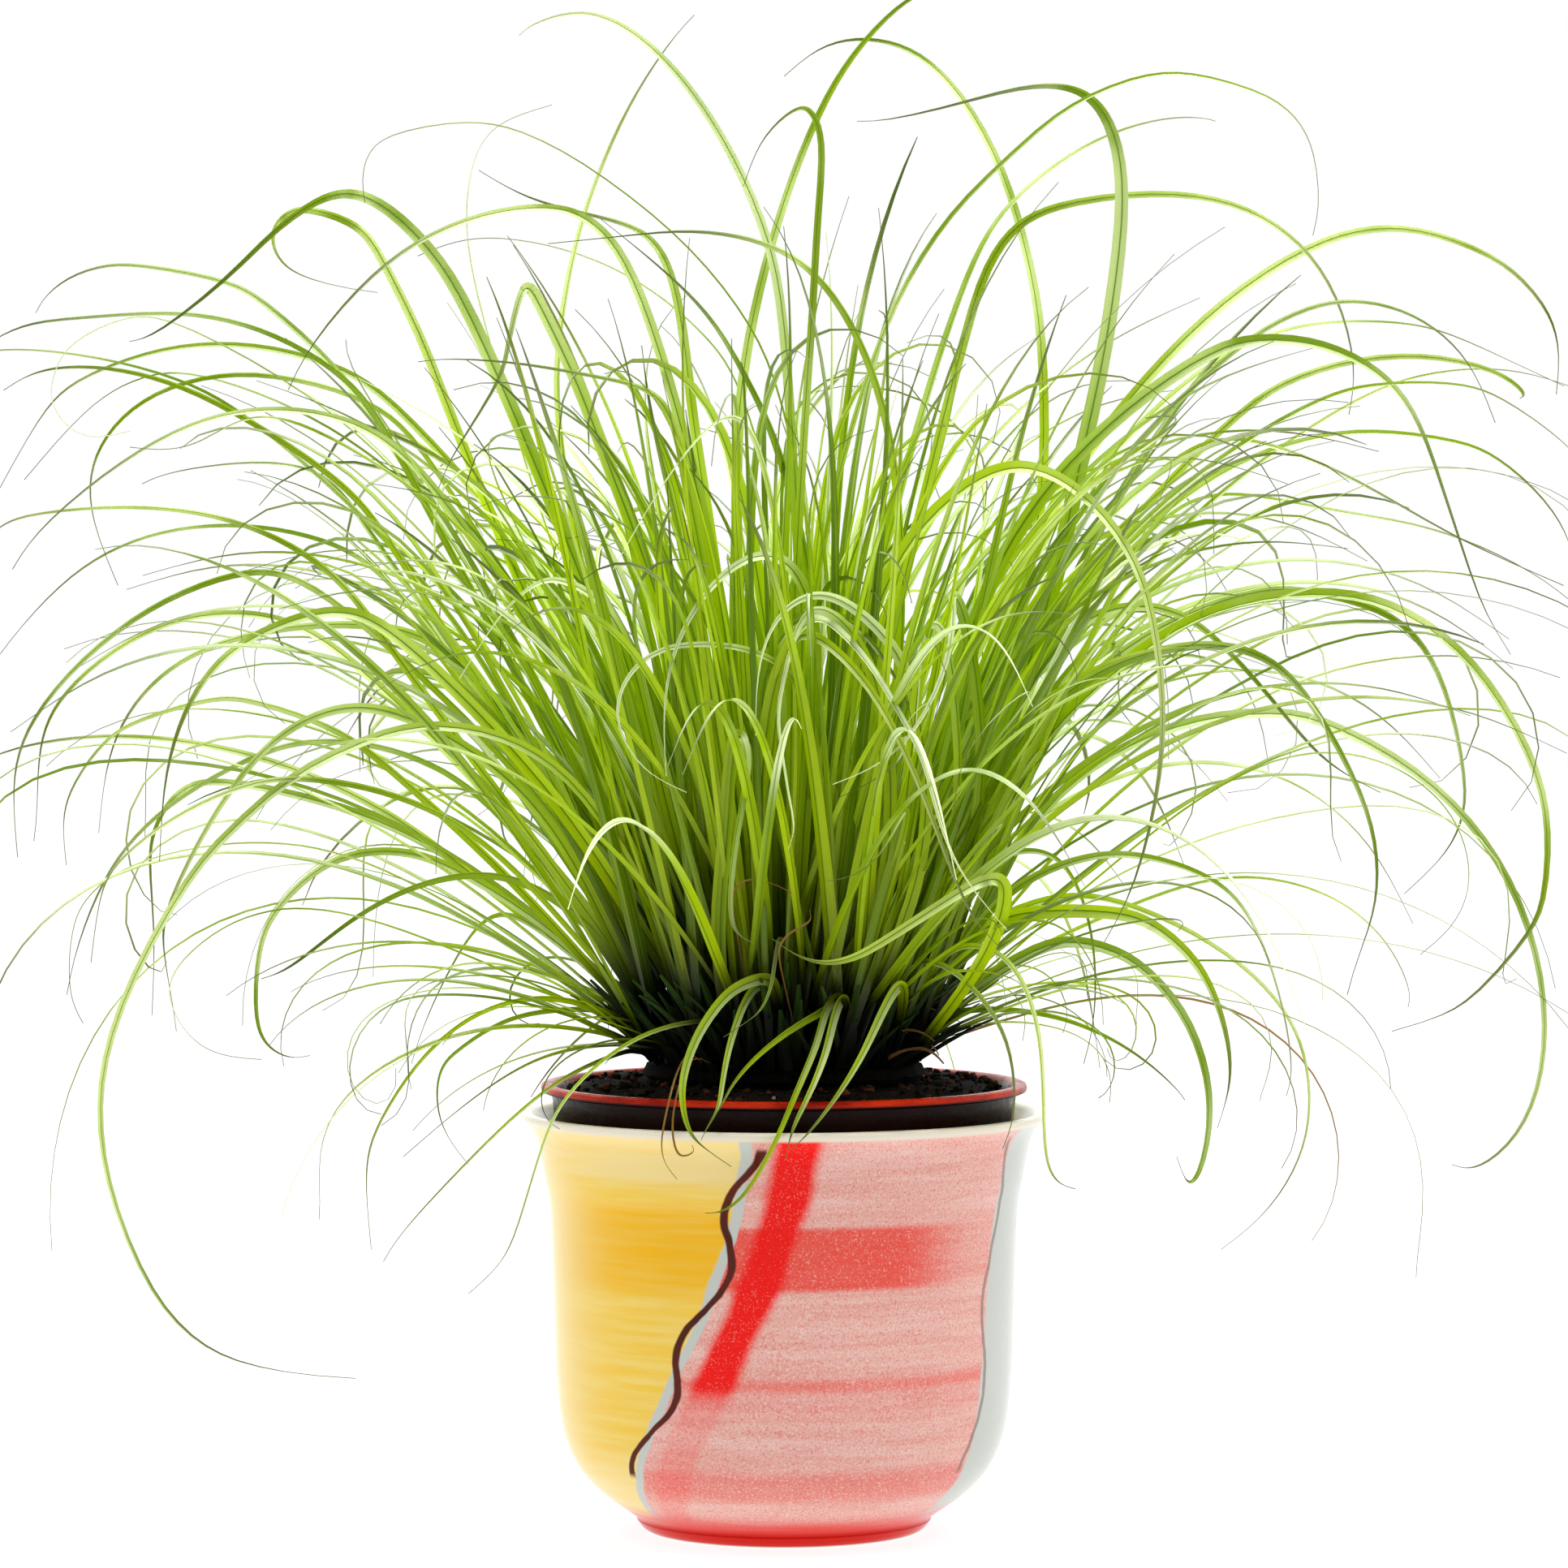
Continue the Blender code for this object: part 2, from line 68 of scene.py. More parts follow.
# Light from the surroundings, in front of the plant and behind it, and the two depths of view
# between which it changes. Two soft lamps, in metres, aim at the plant's middle: name, place, size
# and power.
FRONT_LIGHT = 0.21
BACK_LIGHT = 1.6
LIGHT_CHANGES = (-0.95, 0.9)
LAMPS = (("overhead", (0.1, -0.22, 1.2), 0.5, 16), ("behind", (-0.2, 0.8, 1.0), 0.7, 8))
LAMP_AIM = Vector((0, 0, 0.25))
WHITE = (1, 1, 1, 1)

# Floor, in millimetres: how far it reaches and how far it lies below the pot's foot. It glows.
FLOOR_REACH = 6000.0
FLOOR_DROP = 0.2
FLOOR_GREY = (0.15, 0.15, 0.15, 1)
FLOOR_GLOW = 0.9

# Glazed pot, in millimetres, as (radius, height) outlines.
TURN_STEPS = 144
POT_FOOT = ((0, 0), (20, 0), (33.0, 0), (34.0, 0.15), (34.9, 0.7), (35.7, 1.6))
POT_OUTSIDE = ((36.4, 2.6), (37.2, 4.0), (44.6, 9.2), (50.2, 15.0), (53.5, 21.5), (55.3, 29.0),
               (56.3, 40.0), (56.8, 56.0), (57.6, 78.0), (59.0, 87.0), (61.2, 97.6), (64.6, 101.6))
POT_LIP = ((65.2, 102.3), (65.35, 102.8), (65.1, 103.25), (64.6, 103.4), (63.6, 103.45),
           (62.6, 103.4), (61.7, 103.1))
POT_INSIDE = ((61.2, 102.6), (57.9, 98.0), (54.6, 86.0), (53.3, 74.0), (52.6, 48.0), (50.9, 29.0),
              (45.6, 15.2), (36.0, 7.5))
POT_FLOOR = ((18, 7.5), (0, 7.5))

# Plastic pot, in millimetres: heights of its base, waist and top, its wall, and its radii.
NURSERY_BASE = 7.8
NURSERY_WAIST_HEIGHT = 84.0
NURSERY_TOP = 110.4
NURSERY_WALL = 1.2
NURSERY_FOOT = 35.0
NURSERY_WAIST = 52.4
NURSERY_NECK = 53.4
NURSERY_COLLAR = 56.4

# Peat, in millimetres: the heights of its level top and of its edge, how wide the rise between
# them is, its radius, and above which height it is lumpy and how far from its edge the lumps fade.
SOIL_TOP = 111.0
SOIL_EDGE = 108.6
SOIL_RISE_WIDTH = 9.0
SOIL_RADIUS = 56.0
LUMPS_START = 105.0
LUMPS_FADE = 6.0

# Crumbs on the peat: how many, how far out, where the wall stops them, and their least radius and
# how much more at most.
CRUMB_COUNT = 900
CRUMB_REACH = 54.0
CRUMB_WALL = 54.2
CRUMB_LEAST = 0.35
CRUMB_MORE = 1.3

# Crown, in millimetres, as in the solids: what all blades grow from.
CROWN_RADIUS = 35.0
CROWN_EDGE = 114.5
CROWN_TOP = 121.0
CROWN_GAP = 0.6

# Old sheath bases that cover the crown. Live and dead ones differ in how much farther they lean and
# how much they bend, both in degrees, in their length and in their share of the full width.
SHEATH_COUNT = 420
SHEATH_REACH = 33.0
SHEATH_SECTIONS = 12
DEAD_SHARE = 0.06
LIVE_SHEATH = (0, (0, 25), (12, 30), 1)
DEAD_SHEATH = (20, (40, 120), (14, 34), 0.45)
SHEATH_WIDTHS = (1.6, 4.2)
OUTER_SHEATH_LEAN_DEG = 42
SHEATH_LEAN_SCATTER_DEG = 9

# Shoots, as in the solids: sites for them and for the long leaves, the lean of the outermost, and
# each blade's turn in degrees, share of the lean, bend in degrees, length and width.
SITE_COUNT = 56
SITE_RADIUS = 32.0
GOLDEN_ANGLE = math.radians(137.508)
SHOOT_LEAN = math.radians(56)
LEAST_LEAN = math.radians(5)
SHEATH_LENGTH = 12.0
SHEATH_HALF = 1.3
SHOOT_BLADES = (
    (0, 1.10, 95, 205, 3.0),
    (34, 0.85, 75, 190, 2.4),
    (180, -0.40, -60, 190, 2.8),
    (-34, 0.80, 100, 195, 2.2),
)

# More turns, in degrees, that are tried to find each of the solid's blades, the least first.
TURN_TRIES = [side * 4 * k for k in range(12) for side in (1, -1)]

# A blade: its sheath's share of its length and of its full width, its thin tip, and its section:
# how deep its trough and the keel below that are, as shares of half its width, and the least keel.
SHEATH_PART = 0.2
SHEATH_NARROW = 0.6
TIP_WIDTH = 0.2
TROUGH_DEPTH = 0.28
KEEL_DEPTH = 0.22
KEEL_LEAST = 0.05

# How blades rise and bend: their upright start, how much length each radian of bend counts for when
# sections are spread along them, steps and lateness of a plain arch, how much a traced blade sets
# off upward and swings on its way to its curve, and its twist and how far that varies.
UPRIGHT_START = 5.0
BEND_RADIUS = 60.0
ARCH_STEPS = 9
ARCH_LATENESS = 1.8
RISE_UPWARD = 0.35
RISE_SWING = 0.38
FRONTAL_TWIST_DEG = 75
TWIST_CHANGE_DEG = 30

# Sections along blades of each kind.
LONG_SECTIONS = 56
SHOOT_SECTIONS = 34
FINE_SECTIONS = 30

# Fine blades, in millimetres: their narrow foot, how far out they grow and how many in a clump, how
# near they come to the tuft's reach and to the ground, and the (radius, height) of the pots and the
# peat, which they stay out of.
FINE_SHEATH_NARROW = 0.62
FINE_SITE_RADIUS = 33.5
CLUMP_SIZE = 3
REACH_MARGIN = 3.0
GROUND_MARGIN = 8.0
KEPT_CLEAR = ((68, 105), (62, 113))

# Kinds of blade that fill the tuft: how many, whether all round or fewer in front, how near the
# middle they start, their least and most lean and its scatter in degrees, and least and most
# length, bend in degrees, lateness of the bend and width.
FINE_KINDS = (
    (237, True, 0.0, (3, 33), 6, (148, 226), (22, 84), (2.0, 4.2), (2.2, 4.8)),
    (30, False, 0.5, (26, 50), 8, (190, 270), (55, 125), (1.3, 2.6), (1.2, 2.8)),
    (54, False, 0.7, (36, 64), 9, (60, 150), (50, 130), (1.2, 2.4), (0.8, 2.0)),
    (33, False, 0.0, (4, 46), 9, (140, 260), (40, 150), (1.2, 2.6), (0.6, 1.3)),
)

# Some blades curl at the end: from which share of their length, and by how many degrees. The
# farther a blade leans to the front, the less it leans, bends and curls.
CURLED_SHARE = 0.5
CURL_START = 0.6
CURL_DEG = (15, 170)
FRONT_LESS_LEAN = 0.4
FRONT_LESS_BEND = 0.6

# How far blades that arch to the front swing aside. A blade's tone and fate, from 0 to 1, colour
# it: low fates get a painted sheen where they hang, high ones have a brown end and the highest are
# dry all along.
FRONT_SWING = 24.0
PAINTED_SHEEN_FATE = 0.02
DRY_FATE = 1.0
FALL_TONE = 0.8

# Heights in millimetres up to which shade is painted on blades within the tuft.
LONG_PAINTED_SHADE_TO = 190.0
TUFT_PAINTED_SHADE_TO = 205.0

# Blades that arch over in front of the tuft and hang with their upper side outward, with a painted
# sheen on it: width, depth and curve, as for the long leaves.
FRONT_ARCS = (
    (3.3, -80, ((6, 190), (9, 222), (3, 239), (-7, 242), (-19, 233), (-28, 217), (-30, 200), (-29, 186))),
    (3.3, -88, ((36, 185), (33, 203), (29, 216), (20, 226), (10, 232), (1, 229), (-5, 220), (-7, 208),
                (-7, 196))),
    (3.3, -94, ((27, 184), (24, 206), (19, 219), (12, 227), (5, 228), (1, 216), (-2, 202), (-1, 195),
                (1, 181), (3, 173), (1, 168))),
    (3.6, -98, ((-6, 186), (-3, 212), (6, 227), (13, 223), (22, 213), (28, 202), (34, 192), (37, 179),
                (42, 163), (55, 148))),
    (3.0, -76, ((44, 182), (42, 208), (40, 221), (37, 225), (34, 220), (33, 204), (32, 192))),
    (3.3, -84, ((50, 186), (47, 214), (44, 228), (41, 232), (42, 227), (41, 217), (38, 208), (34, 200),
                (28, 192), (20, 187), (12, 184))),
    (2.7, -60, ((-34, 200), (-38, 219), (-45, 230), (-55, 235), (-61, 234), (-67, 229), (-72, 223),
                (-80, 210))),
    (1.8, -84, ((8, 196), (4, 211), (-8, 218), (-23, 219), (-32, 217), (-39, 211), (-42, 202), (-39, 193),
                (-33, 186), (-24, 182))),
)

# Blades that bend over in front of the crown and hang over the pots' rims: width and curve as
# (across, up, depth), the first two seen in the plane through the pot's axis.
FRONT_FALLS = (
    (3.2, ((-1, 115, -28), (-1, 126, -34), (-2, 135, -42), (-5, 136.5, -45), (-12, 134, -49),
           (-16.5, 129.5, -53), (-21.5, 122, -58), (-24.5, 114, -62), (-25.5, 107, -65), (-24, 98.5, -66),
           (-20.5, 94.5, -66), (-13, 89.5, -67))),
    (2.6, ((-3, 115, -27), (-3, 128, -34), (-5, 136, -42), (-9, 132, -46), (-11.5, 126, -50),
           (-14, 118, -57), (-15.5, 109, -62), (-16, 104, -66), (-19.5, 98.5, -68), (-20.5, 96, -68))),
    (3.2, ((13, 115, -24), (15, 126, -32), (13.5, 132.5, -40), (11.5, 129, -44), (5.5, 126, -49),
           (-1.5, 121.5, -55), (-9, 115, -60), (-13.5, 109, -64), (-15.5, 104.5, -67), (-18.5, 100, -68))),
    (3.0, ((11, 115, -26), (15, 128, -34), (13.5, 133, -40), (10, 129, -45), (8.5, 121.5, -54),
           (5.5, 114, -61), (2, 106, -66), (-1.5, 97, -67), (-6, 88.5, -66), (-10.5, 81.5, -66),
           (-15.5, 78, -66), (-19.5, 78, -66))),
    (3.2, ((15, 115, -25), (16, 128, -34), (14.5, 133, -41), (12, 126, -49), (10.5, 118, -57),
           (7, 109, -63), (3, 101, -67), (1.5, 97, -68), (0.5, 91.5, -68))),
    (3.2, ((25, 115, -20), (30, 128, -30), (29.5, 137, -42), (25, 129.5, -50), (21.5, 121.5, -57),
           (17.5, 113.5, -62), (11.5, 104.5, -66), (5.5, 97, -68), (2, 94, -68))),
    (1.8, ((1, 115, -28), (1, 132, -32), (-0.5, 147, -37), (-1.5, 145, -39), (-2.5, 138.5, -44),
           (-3, 134, -47), (-5.5, 128, -50), (-9, 125.5, -52), (-15, 121.5, -54))),
    (3.8, ((30, 115, -12), (50, 140, -50), (56, 158, -68), (52, 163, -76), (35, 152, -80), (25, 145.5, -82),
           (17.5, 141, -83), (10, 139.5, -83), (3, 141.5, -82), (-3, 146, -80))),
)

# Dry wisps: two hang over the pots' rims in front, two curl before the tuft.
WISP_WIDTH = 0.7
DRY_WISPS = (
    ((-20, -29, 117.5), (-23, -44, 122), (-26, -56, 117), (-28, -61.5, 108), (-29.4, -61.5, 100.7),
     (-28.5, -60, 95.8), (-25.4, -60.5, 92.2)),
    ((-18, -30, 117.5), (-22, -46, 121), (-25, -57, 115), (-27, -62, 106), (-25.9, -62, 98.4),
     (-23.6, -62, 97.6), (-21, -62, 98.9), (-21.9, -61.5, 100.4)),
    ((-6, -25, 119), (-10, -40, 144), (-14, -50, 162), (-6, -54, 164), (2, -55, 160)),
    ((4, -26, 119), (0, -44, 138), (-2, -50, 147), (2, -52, 151), (7, -53, 153), (6, -53, 156)),
)

# The long leaves, one by one: greatest width, depth of the tip behind the pot's axis, and the
# curve of the leaf as (across, up) places in the plane through the pot's axis.
LONG_LEAVES = (
    (4.0, -35, ((-64, 270), (-78, 302), (-86, 315), (-99, 328), (-111, 331), (-126, 320), (-136, 309),
                (-155, 294), (-161, 293))),
    (2.8, 30, ((-83, 277), (-88, 292), (-99, 314), (-104, 322), (-117, 326), (-122, 325), (-127, 320),
               (-124, 310), (-108, 306), (-100, 305))),
    (2.8, 15, ((-86, 249), (-97, 270), (-106, 284), (-126, 296), (-147, 301), (-171, 299), (-185, 298),
               (-194, 294), (-202, 288))),
    (2.6, -20, ((-94, 239), (-104, 255), (-122, 268), (-144, 281), (-164, 287), (-183, 287), (-192, 281))),
    (2.4, 90, ((-94, 277), (-108, 287), (-131, 293), (-153, 292), (-174, 284), (-182, 277), (-193, 257))),
    (2.4, -70, ((-82, 253), (-98, 271), (-118, 277), (-140, 276), (-162, 265), (-184, 247), (-190, 237))),
    (3.2, 45, ((-17, 237), (-19, 252), (-23, 277), (-25, 300), (-30, 318), (-41, 323), (-62, 327),
               (-75, 335))),
    (2.2, -25, ((-98, 219), (-108, 234), (-122, 244), (-140, 251), (-162, 253), (-185, 251), (-194, 248),
                (-200, 239))),
    (2.4, 85, ((-94, 231), (-106, 243), (-131, 249), (-155, 247), (-174, 238), (-188, 223), (-194, 215))),
    (2.8, 70, ((-56, 270), (-56, 292), (-52, 315), (-47, 331), (-38, 352), (-27, 368), (-22, 373))),
    (3.0, -15, ((4, 237), (3, 252), (2, 270), (1, 286), (-1, 307), (-5, 322), (-13, 340), (-24, 357),
                (-36, 369), (-49, 375), (-62, 371), (-65, 368))),
    (3.0, 25, ((-12, 257), (-11, 281), (-7, 303), (-1, 325), (6, 344), (14, 360), (25, 373), (36, 381),
               (53, 380))),
    (3.0, 60, ((62, 241), (64, 261), (64, 279), (63, 300), (59, 318), (54, 335), (45, 352), (34, 364),
               (21, 368), (9, 366), (0, 358))),
    (4.6, -30, ((68, 237), (72, 260), (78, 285), (82, 310), (84, 333), (80, 349), (72, 356), (59, 356),
                (42, 351), (25, 347), (18, 347))),
    (2.6, 35, ((33, 273), (40, 295), (48, 317), (57, 329), (74, 342), (92, 348), (103, 348), (106, 347))),
    (3.2, -80, ((29, 257), (24, 281), (16, 300), (3, 316), (-20, 321), (-38, 319), (-58, 317))),
    (4.0, -110, ((18, 211), (23, 231), (34, 250), (53, 264), (67, 261), (79, 251), (88, 237), (92, 220),
                 (94, 200), (92, 179), (86, 157), (79, 145))),
    (3.0, 40, ((64, 249), (75, 267), (95, 291), (112, 306), (128, 316), (142, 321), (157, 321), (175, 314),
               (183, 307), (189, 299), (191, 290), (190, 280))),
    (2.6, -20, ((44, 293), (49, 311), (58, 324), (74, 328), (94, 330), (113, 327), (128, 317), (137, 303),
                (141, 286), (139, 275))),
    (4.0, -60, ((102, 291), (117, 294), (132, 293), (147, 286), (156, 275), (162, 257), (167, 242),
                (172, 227), (179, 216))),
    (2.4, 60, ((94, 281), (114, 293), (130, 298), (150, 298), (162, 296), (179, 288), (192, 282))),
    (2.4, 10, ((96, 255), (119, 267), (141, 272), (164, 269), (174, 266), (186, 256), (193, 246),
               (195, 237))),
    (3.6, -45, ((90, 220), (110, 229), (132, 232), (150, 229), (168, 217), (181, 198), (189, 179),
                (188, 157), (185, 148), (172, 133), (164, 127), (150, 123))),
    (2.8, 40, ((96, 200), (119, 202), (131, 201), (153, 190), (169, 176), (181, 158), (188, 135),
               (188, 113), (182, 97), (171, 88), (165, 90))),
    (2.8, -75, ((100, 221), (121, 216), (131, 203), (139, 189), (146, 173), (147, 155), (141, 140),
                (139, 132))),
    (4.2, -50, ((48, 147), (56, 153), (82, 153), (91, 150), (103, 140), (109, 125), (111, 111), (107, 99))),
    (3.2, 20, ((48, 135), (59, 142), (69, 146), (79, 144), (88, 140), (100, 127), (106, 108), (104, 91),
               (100, 83), (97, 92))),
    (2.2, 60, ((56, 153), (69, 157), (82, 156), (105, 146), (123, 131), (130, 115), (130, 95), (120, 78),
               (108, 69))),
    (2.6, -30, ((-100, 221), (-118, 235), (-131, 238), (-153, 230), (-170, 218), (-184, 203), (-191, 188),
                (-189, 166))),
    (2.6, 75, ((-74, 159), (-88, 171), (-106, 182), (-128, 191), (-153, 196), (-176, 196), (-194, 192),
               (-202, 187))),
    (3.8, -60, ((-82, 209), (-99, 224), (-108, 227), (-118, 226), (-135, 219), (-146, 207), (-153, 188),
                (-154, 165))),
    (2.6, -90, ((-86, 201), (-106, 194), (-122, 186), (-136, 173), (-144, 165), (-153, 151), (-163, 132),
                (-170, 110), (-168, 86), (-159, 63), (-151, 51), (-140, 42), (-122, 38), (-106, 37))),
    (2.4, 45, ((-70, 157), (-86, 166), (-97, 168), (-107, 167), (-116, 163), (-126, 153), (-130, 144),
               (-131, 126), (-128, 119), (-122, 116), (-117, 117))),
    (2.4, -65, ((-42, 127), (-54, 132), (-71, 131), (-88, 120), (-101, 100), (-104, 89), (-102, 69))),
    (3.2, -74, ((23, 124), (27, 135), (31, 141), (41, 140), (53, 127), (57, 114), (57, 101), (54, 94))),
    (3.6, -100, ((-4, 185), (-1, 211), (1, 219), (6, 223), (19, 212), (29, 195), (37, 175), (45, 152),
                 (53, 144))),
)

# More blades that show in the picture, in the same form. They grow from the nearest shoots.
SIDE_BLADES = (
    (3.0, -60, ((-30, 291), (-39, 314), (-47, 323), (-57, 327), (-78, 324), (-99, 313), (-117, 292),
                (-122, 281))),
    (2.2, 70, ((-100, 273), (-111, 288), (-128, 303), (-136, 308), (-158, 312), (-167, 312), (-176, 309),
               (-182, 304), (-184, 300))),
    (1.6, 40, ((-128, 273), (-147, 284), (-171, 290), (-194, 292), (-204, 288), (-210, 281))),
    (1.2, 55, ((-142, 287), (-158, 285), (-171, 278), (-187, 259))),
    (2.0, 50, ((-86, 263), (-97, 277), (-118, 284), (-138, 286), (-158, 280), (-170, 267), (-172, 252),
               (-164, 233))),
    (0.5, -30, ((-148, 299), (-161, 300), (-176, 293), (-180, 285), (-181, 277), (-173, 268), (-161, 271))),
    (3.8, -50, ((-33, 237), (-43, 262), (-51, 284), (-60, 302), (-64, 310), (-68, 292), (-69, 284),
                (-82, 265), (-85, 257))),
    (2.4, -75, ((-25, 265), (-29, 281), (-44, 284), (-65, 288), (-83, 289), (-90, 288))),
    (0.6, 60, ((-74, 297), (-79, 320), (-77, 338), (-71, 347), (-57, 351))),
    (0.7, -40, ((0, 280), (-8, 298), (-24, 318), (-46, 335), (-60, 343), (-74, 348), (-94, 345),
                (-102, 341), (-104, 333), (-103, 327))),
    (0.8, 80, ((-9, 279), (-16, 292), (-33, 307), (-52, 316), (-76, 320), (-90, 314))),
    (1.2, -90, ((-114, 273), (-132, 276), (-143, 268), (-152, 266), (-161, 267))),
    (1.8, 65, ((-104, 249), (-113, 262), (-131, 264), (-152, 261), (-158, 258))),
    (2.2, -90, ((5, 275), (7, 299), (8, 322), (10, 342), (7, 350), (3, 351), (-6, 343), (-10, 331))),
    (1.4, -60, ((21, 289), (31, 310), (42, 326), (56, 339), (68, 350), (83, 357), (97, 360), (115, 355),
                (123, 351), (130, 343), (132, 327), (130, 319))),
    (3.8, 10, ((0, 266), (-8, 282), (-17, 299), (-31, 312), (-45, 323))),
    (4.0, -45, ((-24, 237), (-27, 252), (-33, 275), (-35, 292))),
    (1.8, -95, ((-2, 253), (-9, 278), (-20, 272), (-32, 255), (-42, 237))),
    (1.8, -40, ((106, 289), (126, 301), (140, 304), (156, 300), (169, 289), (175, 273))),
    (2.2, 20, ((110, 275), (124, 284), (141, 289), (159, 290), (176, 286), (183, 280), (181, 279))),
    (1.6, 55, ((138, 279), (159, 286), (181, 287), (201, 279))),
    (2.0, -75, ((128, 279), (146, 283), (166, 283), (176, 280), (193, 268), (198, 261))),
    (2.0, 60, ((92, 249), (102, 255), (114, 256), (136, 251), (160, 248), (184, 237), (194, 229))),
    (2.2, -35, ((96, 265), (106, 269), (118, 269), (142, 259), (164, 245), (192, 233))),
    (3.2, 15, ((94, 231), (110, 217), (122, 203), (133, 189), (147, 182))),
    (2.6, 70, ((114, 233), (130, 232), (154, 226), (164, 207), (168, 186), (168, 177), (164, 167),
               (153, 157))),
    (0.6, -20, ((160, 187), (171, 165), (167, 150), (157, 142))),
    (2.2, -70, ((74, 167), (89, 167), (107, 161), (116, 151), (123, 131), (126, 113), (124, 107))),
    (1.4, 95, ((78, 151), (100, 160), (117, 162), (136, 157), (149, 146), (155, 133), (154, 129))),
    (2.0, -95, ((49, 145), (58, 139), (64, 122), (64, 98), (65, 89), (68, 85), (72, 84))),
    (1.8, -30, ((64, 169), (72, 162), (77, 145), (77, 126), (74, 115))),
    (2.2, 0, ((46, 129), (67, 128), (86, 119), (97, 109), (99, 106))),
    (2.4, 35, ((-100, 209), (-120, 226), (-144, 227), (-162, 220), (-178, 207), (-184, 195), (-184, 177),
               (-185, 170))),
    (2.8, 10, ((-72, 205), (-86, 221), (-104, 224), (-124, 223), (-144, 218), (-158, 208), (-167, 193),
               (-169, 172))),
    (2.4, -10, ((-96, 187), (-109, 198), (-131, 205), (-140, 206), (-160, 200), (-168, 195), (-177, 182),
                (-178, 173), (-177, 164))),
    (2.6, 55, ((-114, 197), (-132, 191), (-153, 179), (-167, 164), (-175, 143), (-177, 132))),
    (2.0, -80, ((-118, 187), (-134, 184), (-151, 176), (-165, 165), (-169, 157), (-171, 140))),
    (0.6, 25, ((-158, 167), (-171, 158), (-176, 150), (-177, 132), (-173, 125))),
    (2.6, 85, ((-134, 185), (-148, 185), (-155, 175), (-157, 166), (-155, 148), (-156, 127))),
    (3.0, -40, ((-90, 201), (-109, 205), (-128, 195), (-142, 175), (-152, 155), (-154, 146), (-151, 131),
                (-150, 123))),
    (0.6, -65, ((-151, 141), (-153, 130), (-144, 117), (-129, 116))),
    (3.4, -20, ((-54, 155), (-69, 163), (-88, 161), (-106, 152), (-122, 138), (-129, 136))),
    (1.8, -85, ((-40, 118), (-53, 113), (-66, 103), (-80, 89), (-95, 73), (-99, 66))),
    (1.8, -20, ((-42, 120), (-60, 118), (-78, 106), (-94, 92))),
    (1.4, -105, ((-54, 109), (-60, 95), (-66, 73), (-70, 65), (-78, 58))),
    (1.8, 50, ((-56, 145), (-71, 156), (-81, 142), (-89, 125), (-92, 115))),
    (1.8, 15, ((-46, 129), (-67, 128), (-80, 119), (-86, 114), (-86, 100), (-78, 90))),
    (4.2, -90, ((-16, 155), (-14, 173), (-13, 193), (-11, 198), (-8, 190), (-12, 172), (-14, 153),
                (-12, 147), (-8, 145))),
    (4.0, -70, ((-6, 191), (-6, 211), (1, 225), (12, 227), (20, 222), (30, 207), (32, 197))),
    (3.2, -75, ((31, 185), (33, 211), (35, 219), (37, 220), (40, 211))),
    (3.0, -60, ((38, 213), (40, 227), (41, 214), (37, 200))),
    (2.2, -85, ((30, 197), (29, 188), (12, 180))),
    (1.8, -95, ((30, 179), (24, 166), (17, 161), (10, 160))),
)


def unit(vectors):
    return vectors / np.maximum(np.linalg.norm(vectors, axis=-1, keepdims=True), 1e-12)


def spline(points, steps):
    """A cubic B-spline that starts and ends on the first and last point."""
    held = np.vstack([2 * points[0] - points[1], points, 2 * points[-1] - points[-2]])
    t = np.arange(steps)[:, None] / steps
    weights = ((1 - t)**3, 3 * t**3 - 6 * t**2 + 4, 1 + 3 * t + 3 * t**2 - 3 * t**3, t**3)
    parts = []
    for i in range(len(held) - 3):
        parts.append(sum(w * held[i + k] for k, w in enumerate(weights)) / 6)
    return np.vstack(parts + [points[-1]])


def resampled(line, count):
    """This many places along a line, closer together where it bends."""
    step = np.diff(line, axis=0)
    length = np.linalg.norm(step, axis=1)
    way = unit(step)
    turn = np.arccos(np.clip((way[1:] * way[:-1]).sum(axis=1), -1, 1))
    effort = np.cumsum(np.r_[0, length + BEND_RADIUS * np.r_[0, turn]])
    goal = np.linspace(0, effort[-1], count)
    return np.stack([np.interp(goal, effort, line[:, k]) for k in range(3)], axis=1)


def sheathed(share, narrow):
    """Share of the full width: this narrow at the foot, and widening to the end of the sheath."""
    return narrow + (1 - narrow) * np.minimum(share / SHEATH_PART, 1)


def blade_width(share, width):
    """A blade is narrow in its sheath, widest where that ends, and ends in a hair."""
    return np.maximum(width * sheathed(share, SHEATH_NARROW) * (1 - share**2.2), TIP_WIDTH)


def sides_of(line, across, twist):
    """Direction along and across a blade at each section, the latter after its twist."""
    along = unit(np.gradient(line, axis=-2))
    flat = unit(across - along * (across * along).sum(axis=-1, keepdims=True))
    turn = np.asarray(twist)[..., None]
    return along, flat * np.cos(turn) + np.cross(along, flat) * np.sin(turn)


def grown(line, across, twist, width, tone, fate):
    """One blade: its line, directions and widths, and two numbers that colour it."""
    along, side = sides_of(line, across, twist)
    return {"line": line, "along": along, "side": side, "width": width, "tone": tone, "fate": fate}


def blade_corners(blade):
    """Four corners of each section: edge, trough, edge, keel. The trough is on the upper side."""
    half = 0.5 * blade["width"][:, None]
    over = np.cross(blade["along"], blade["side"])
    fold = over * TROUGH_DEPTH * half
    trough = blade["line"] - fold
    corners = (blade["line"] - blade["side"] * half + fold,
               trough,
               blade["line"] + blade["side"] * half + fold,
               trough - over * (KEEL_DEPTH * half + KEEL_LEAST))
    return np.stack(corners, axis=1).reshape(-1, 3)


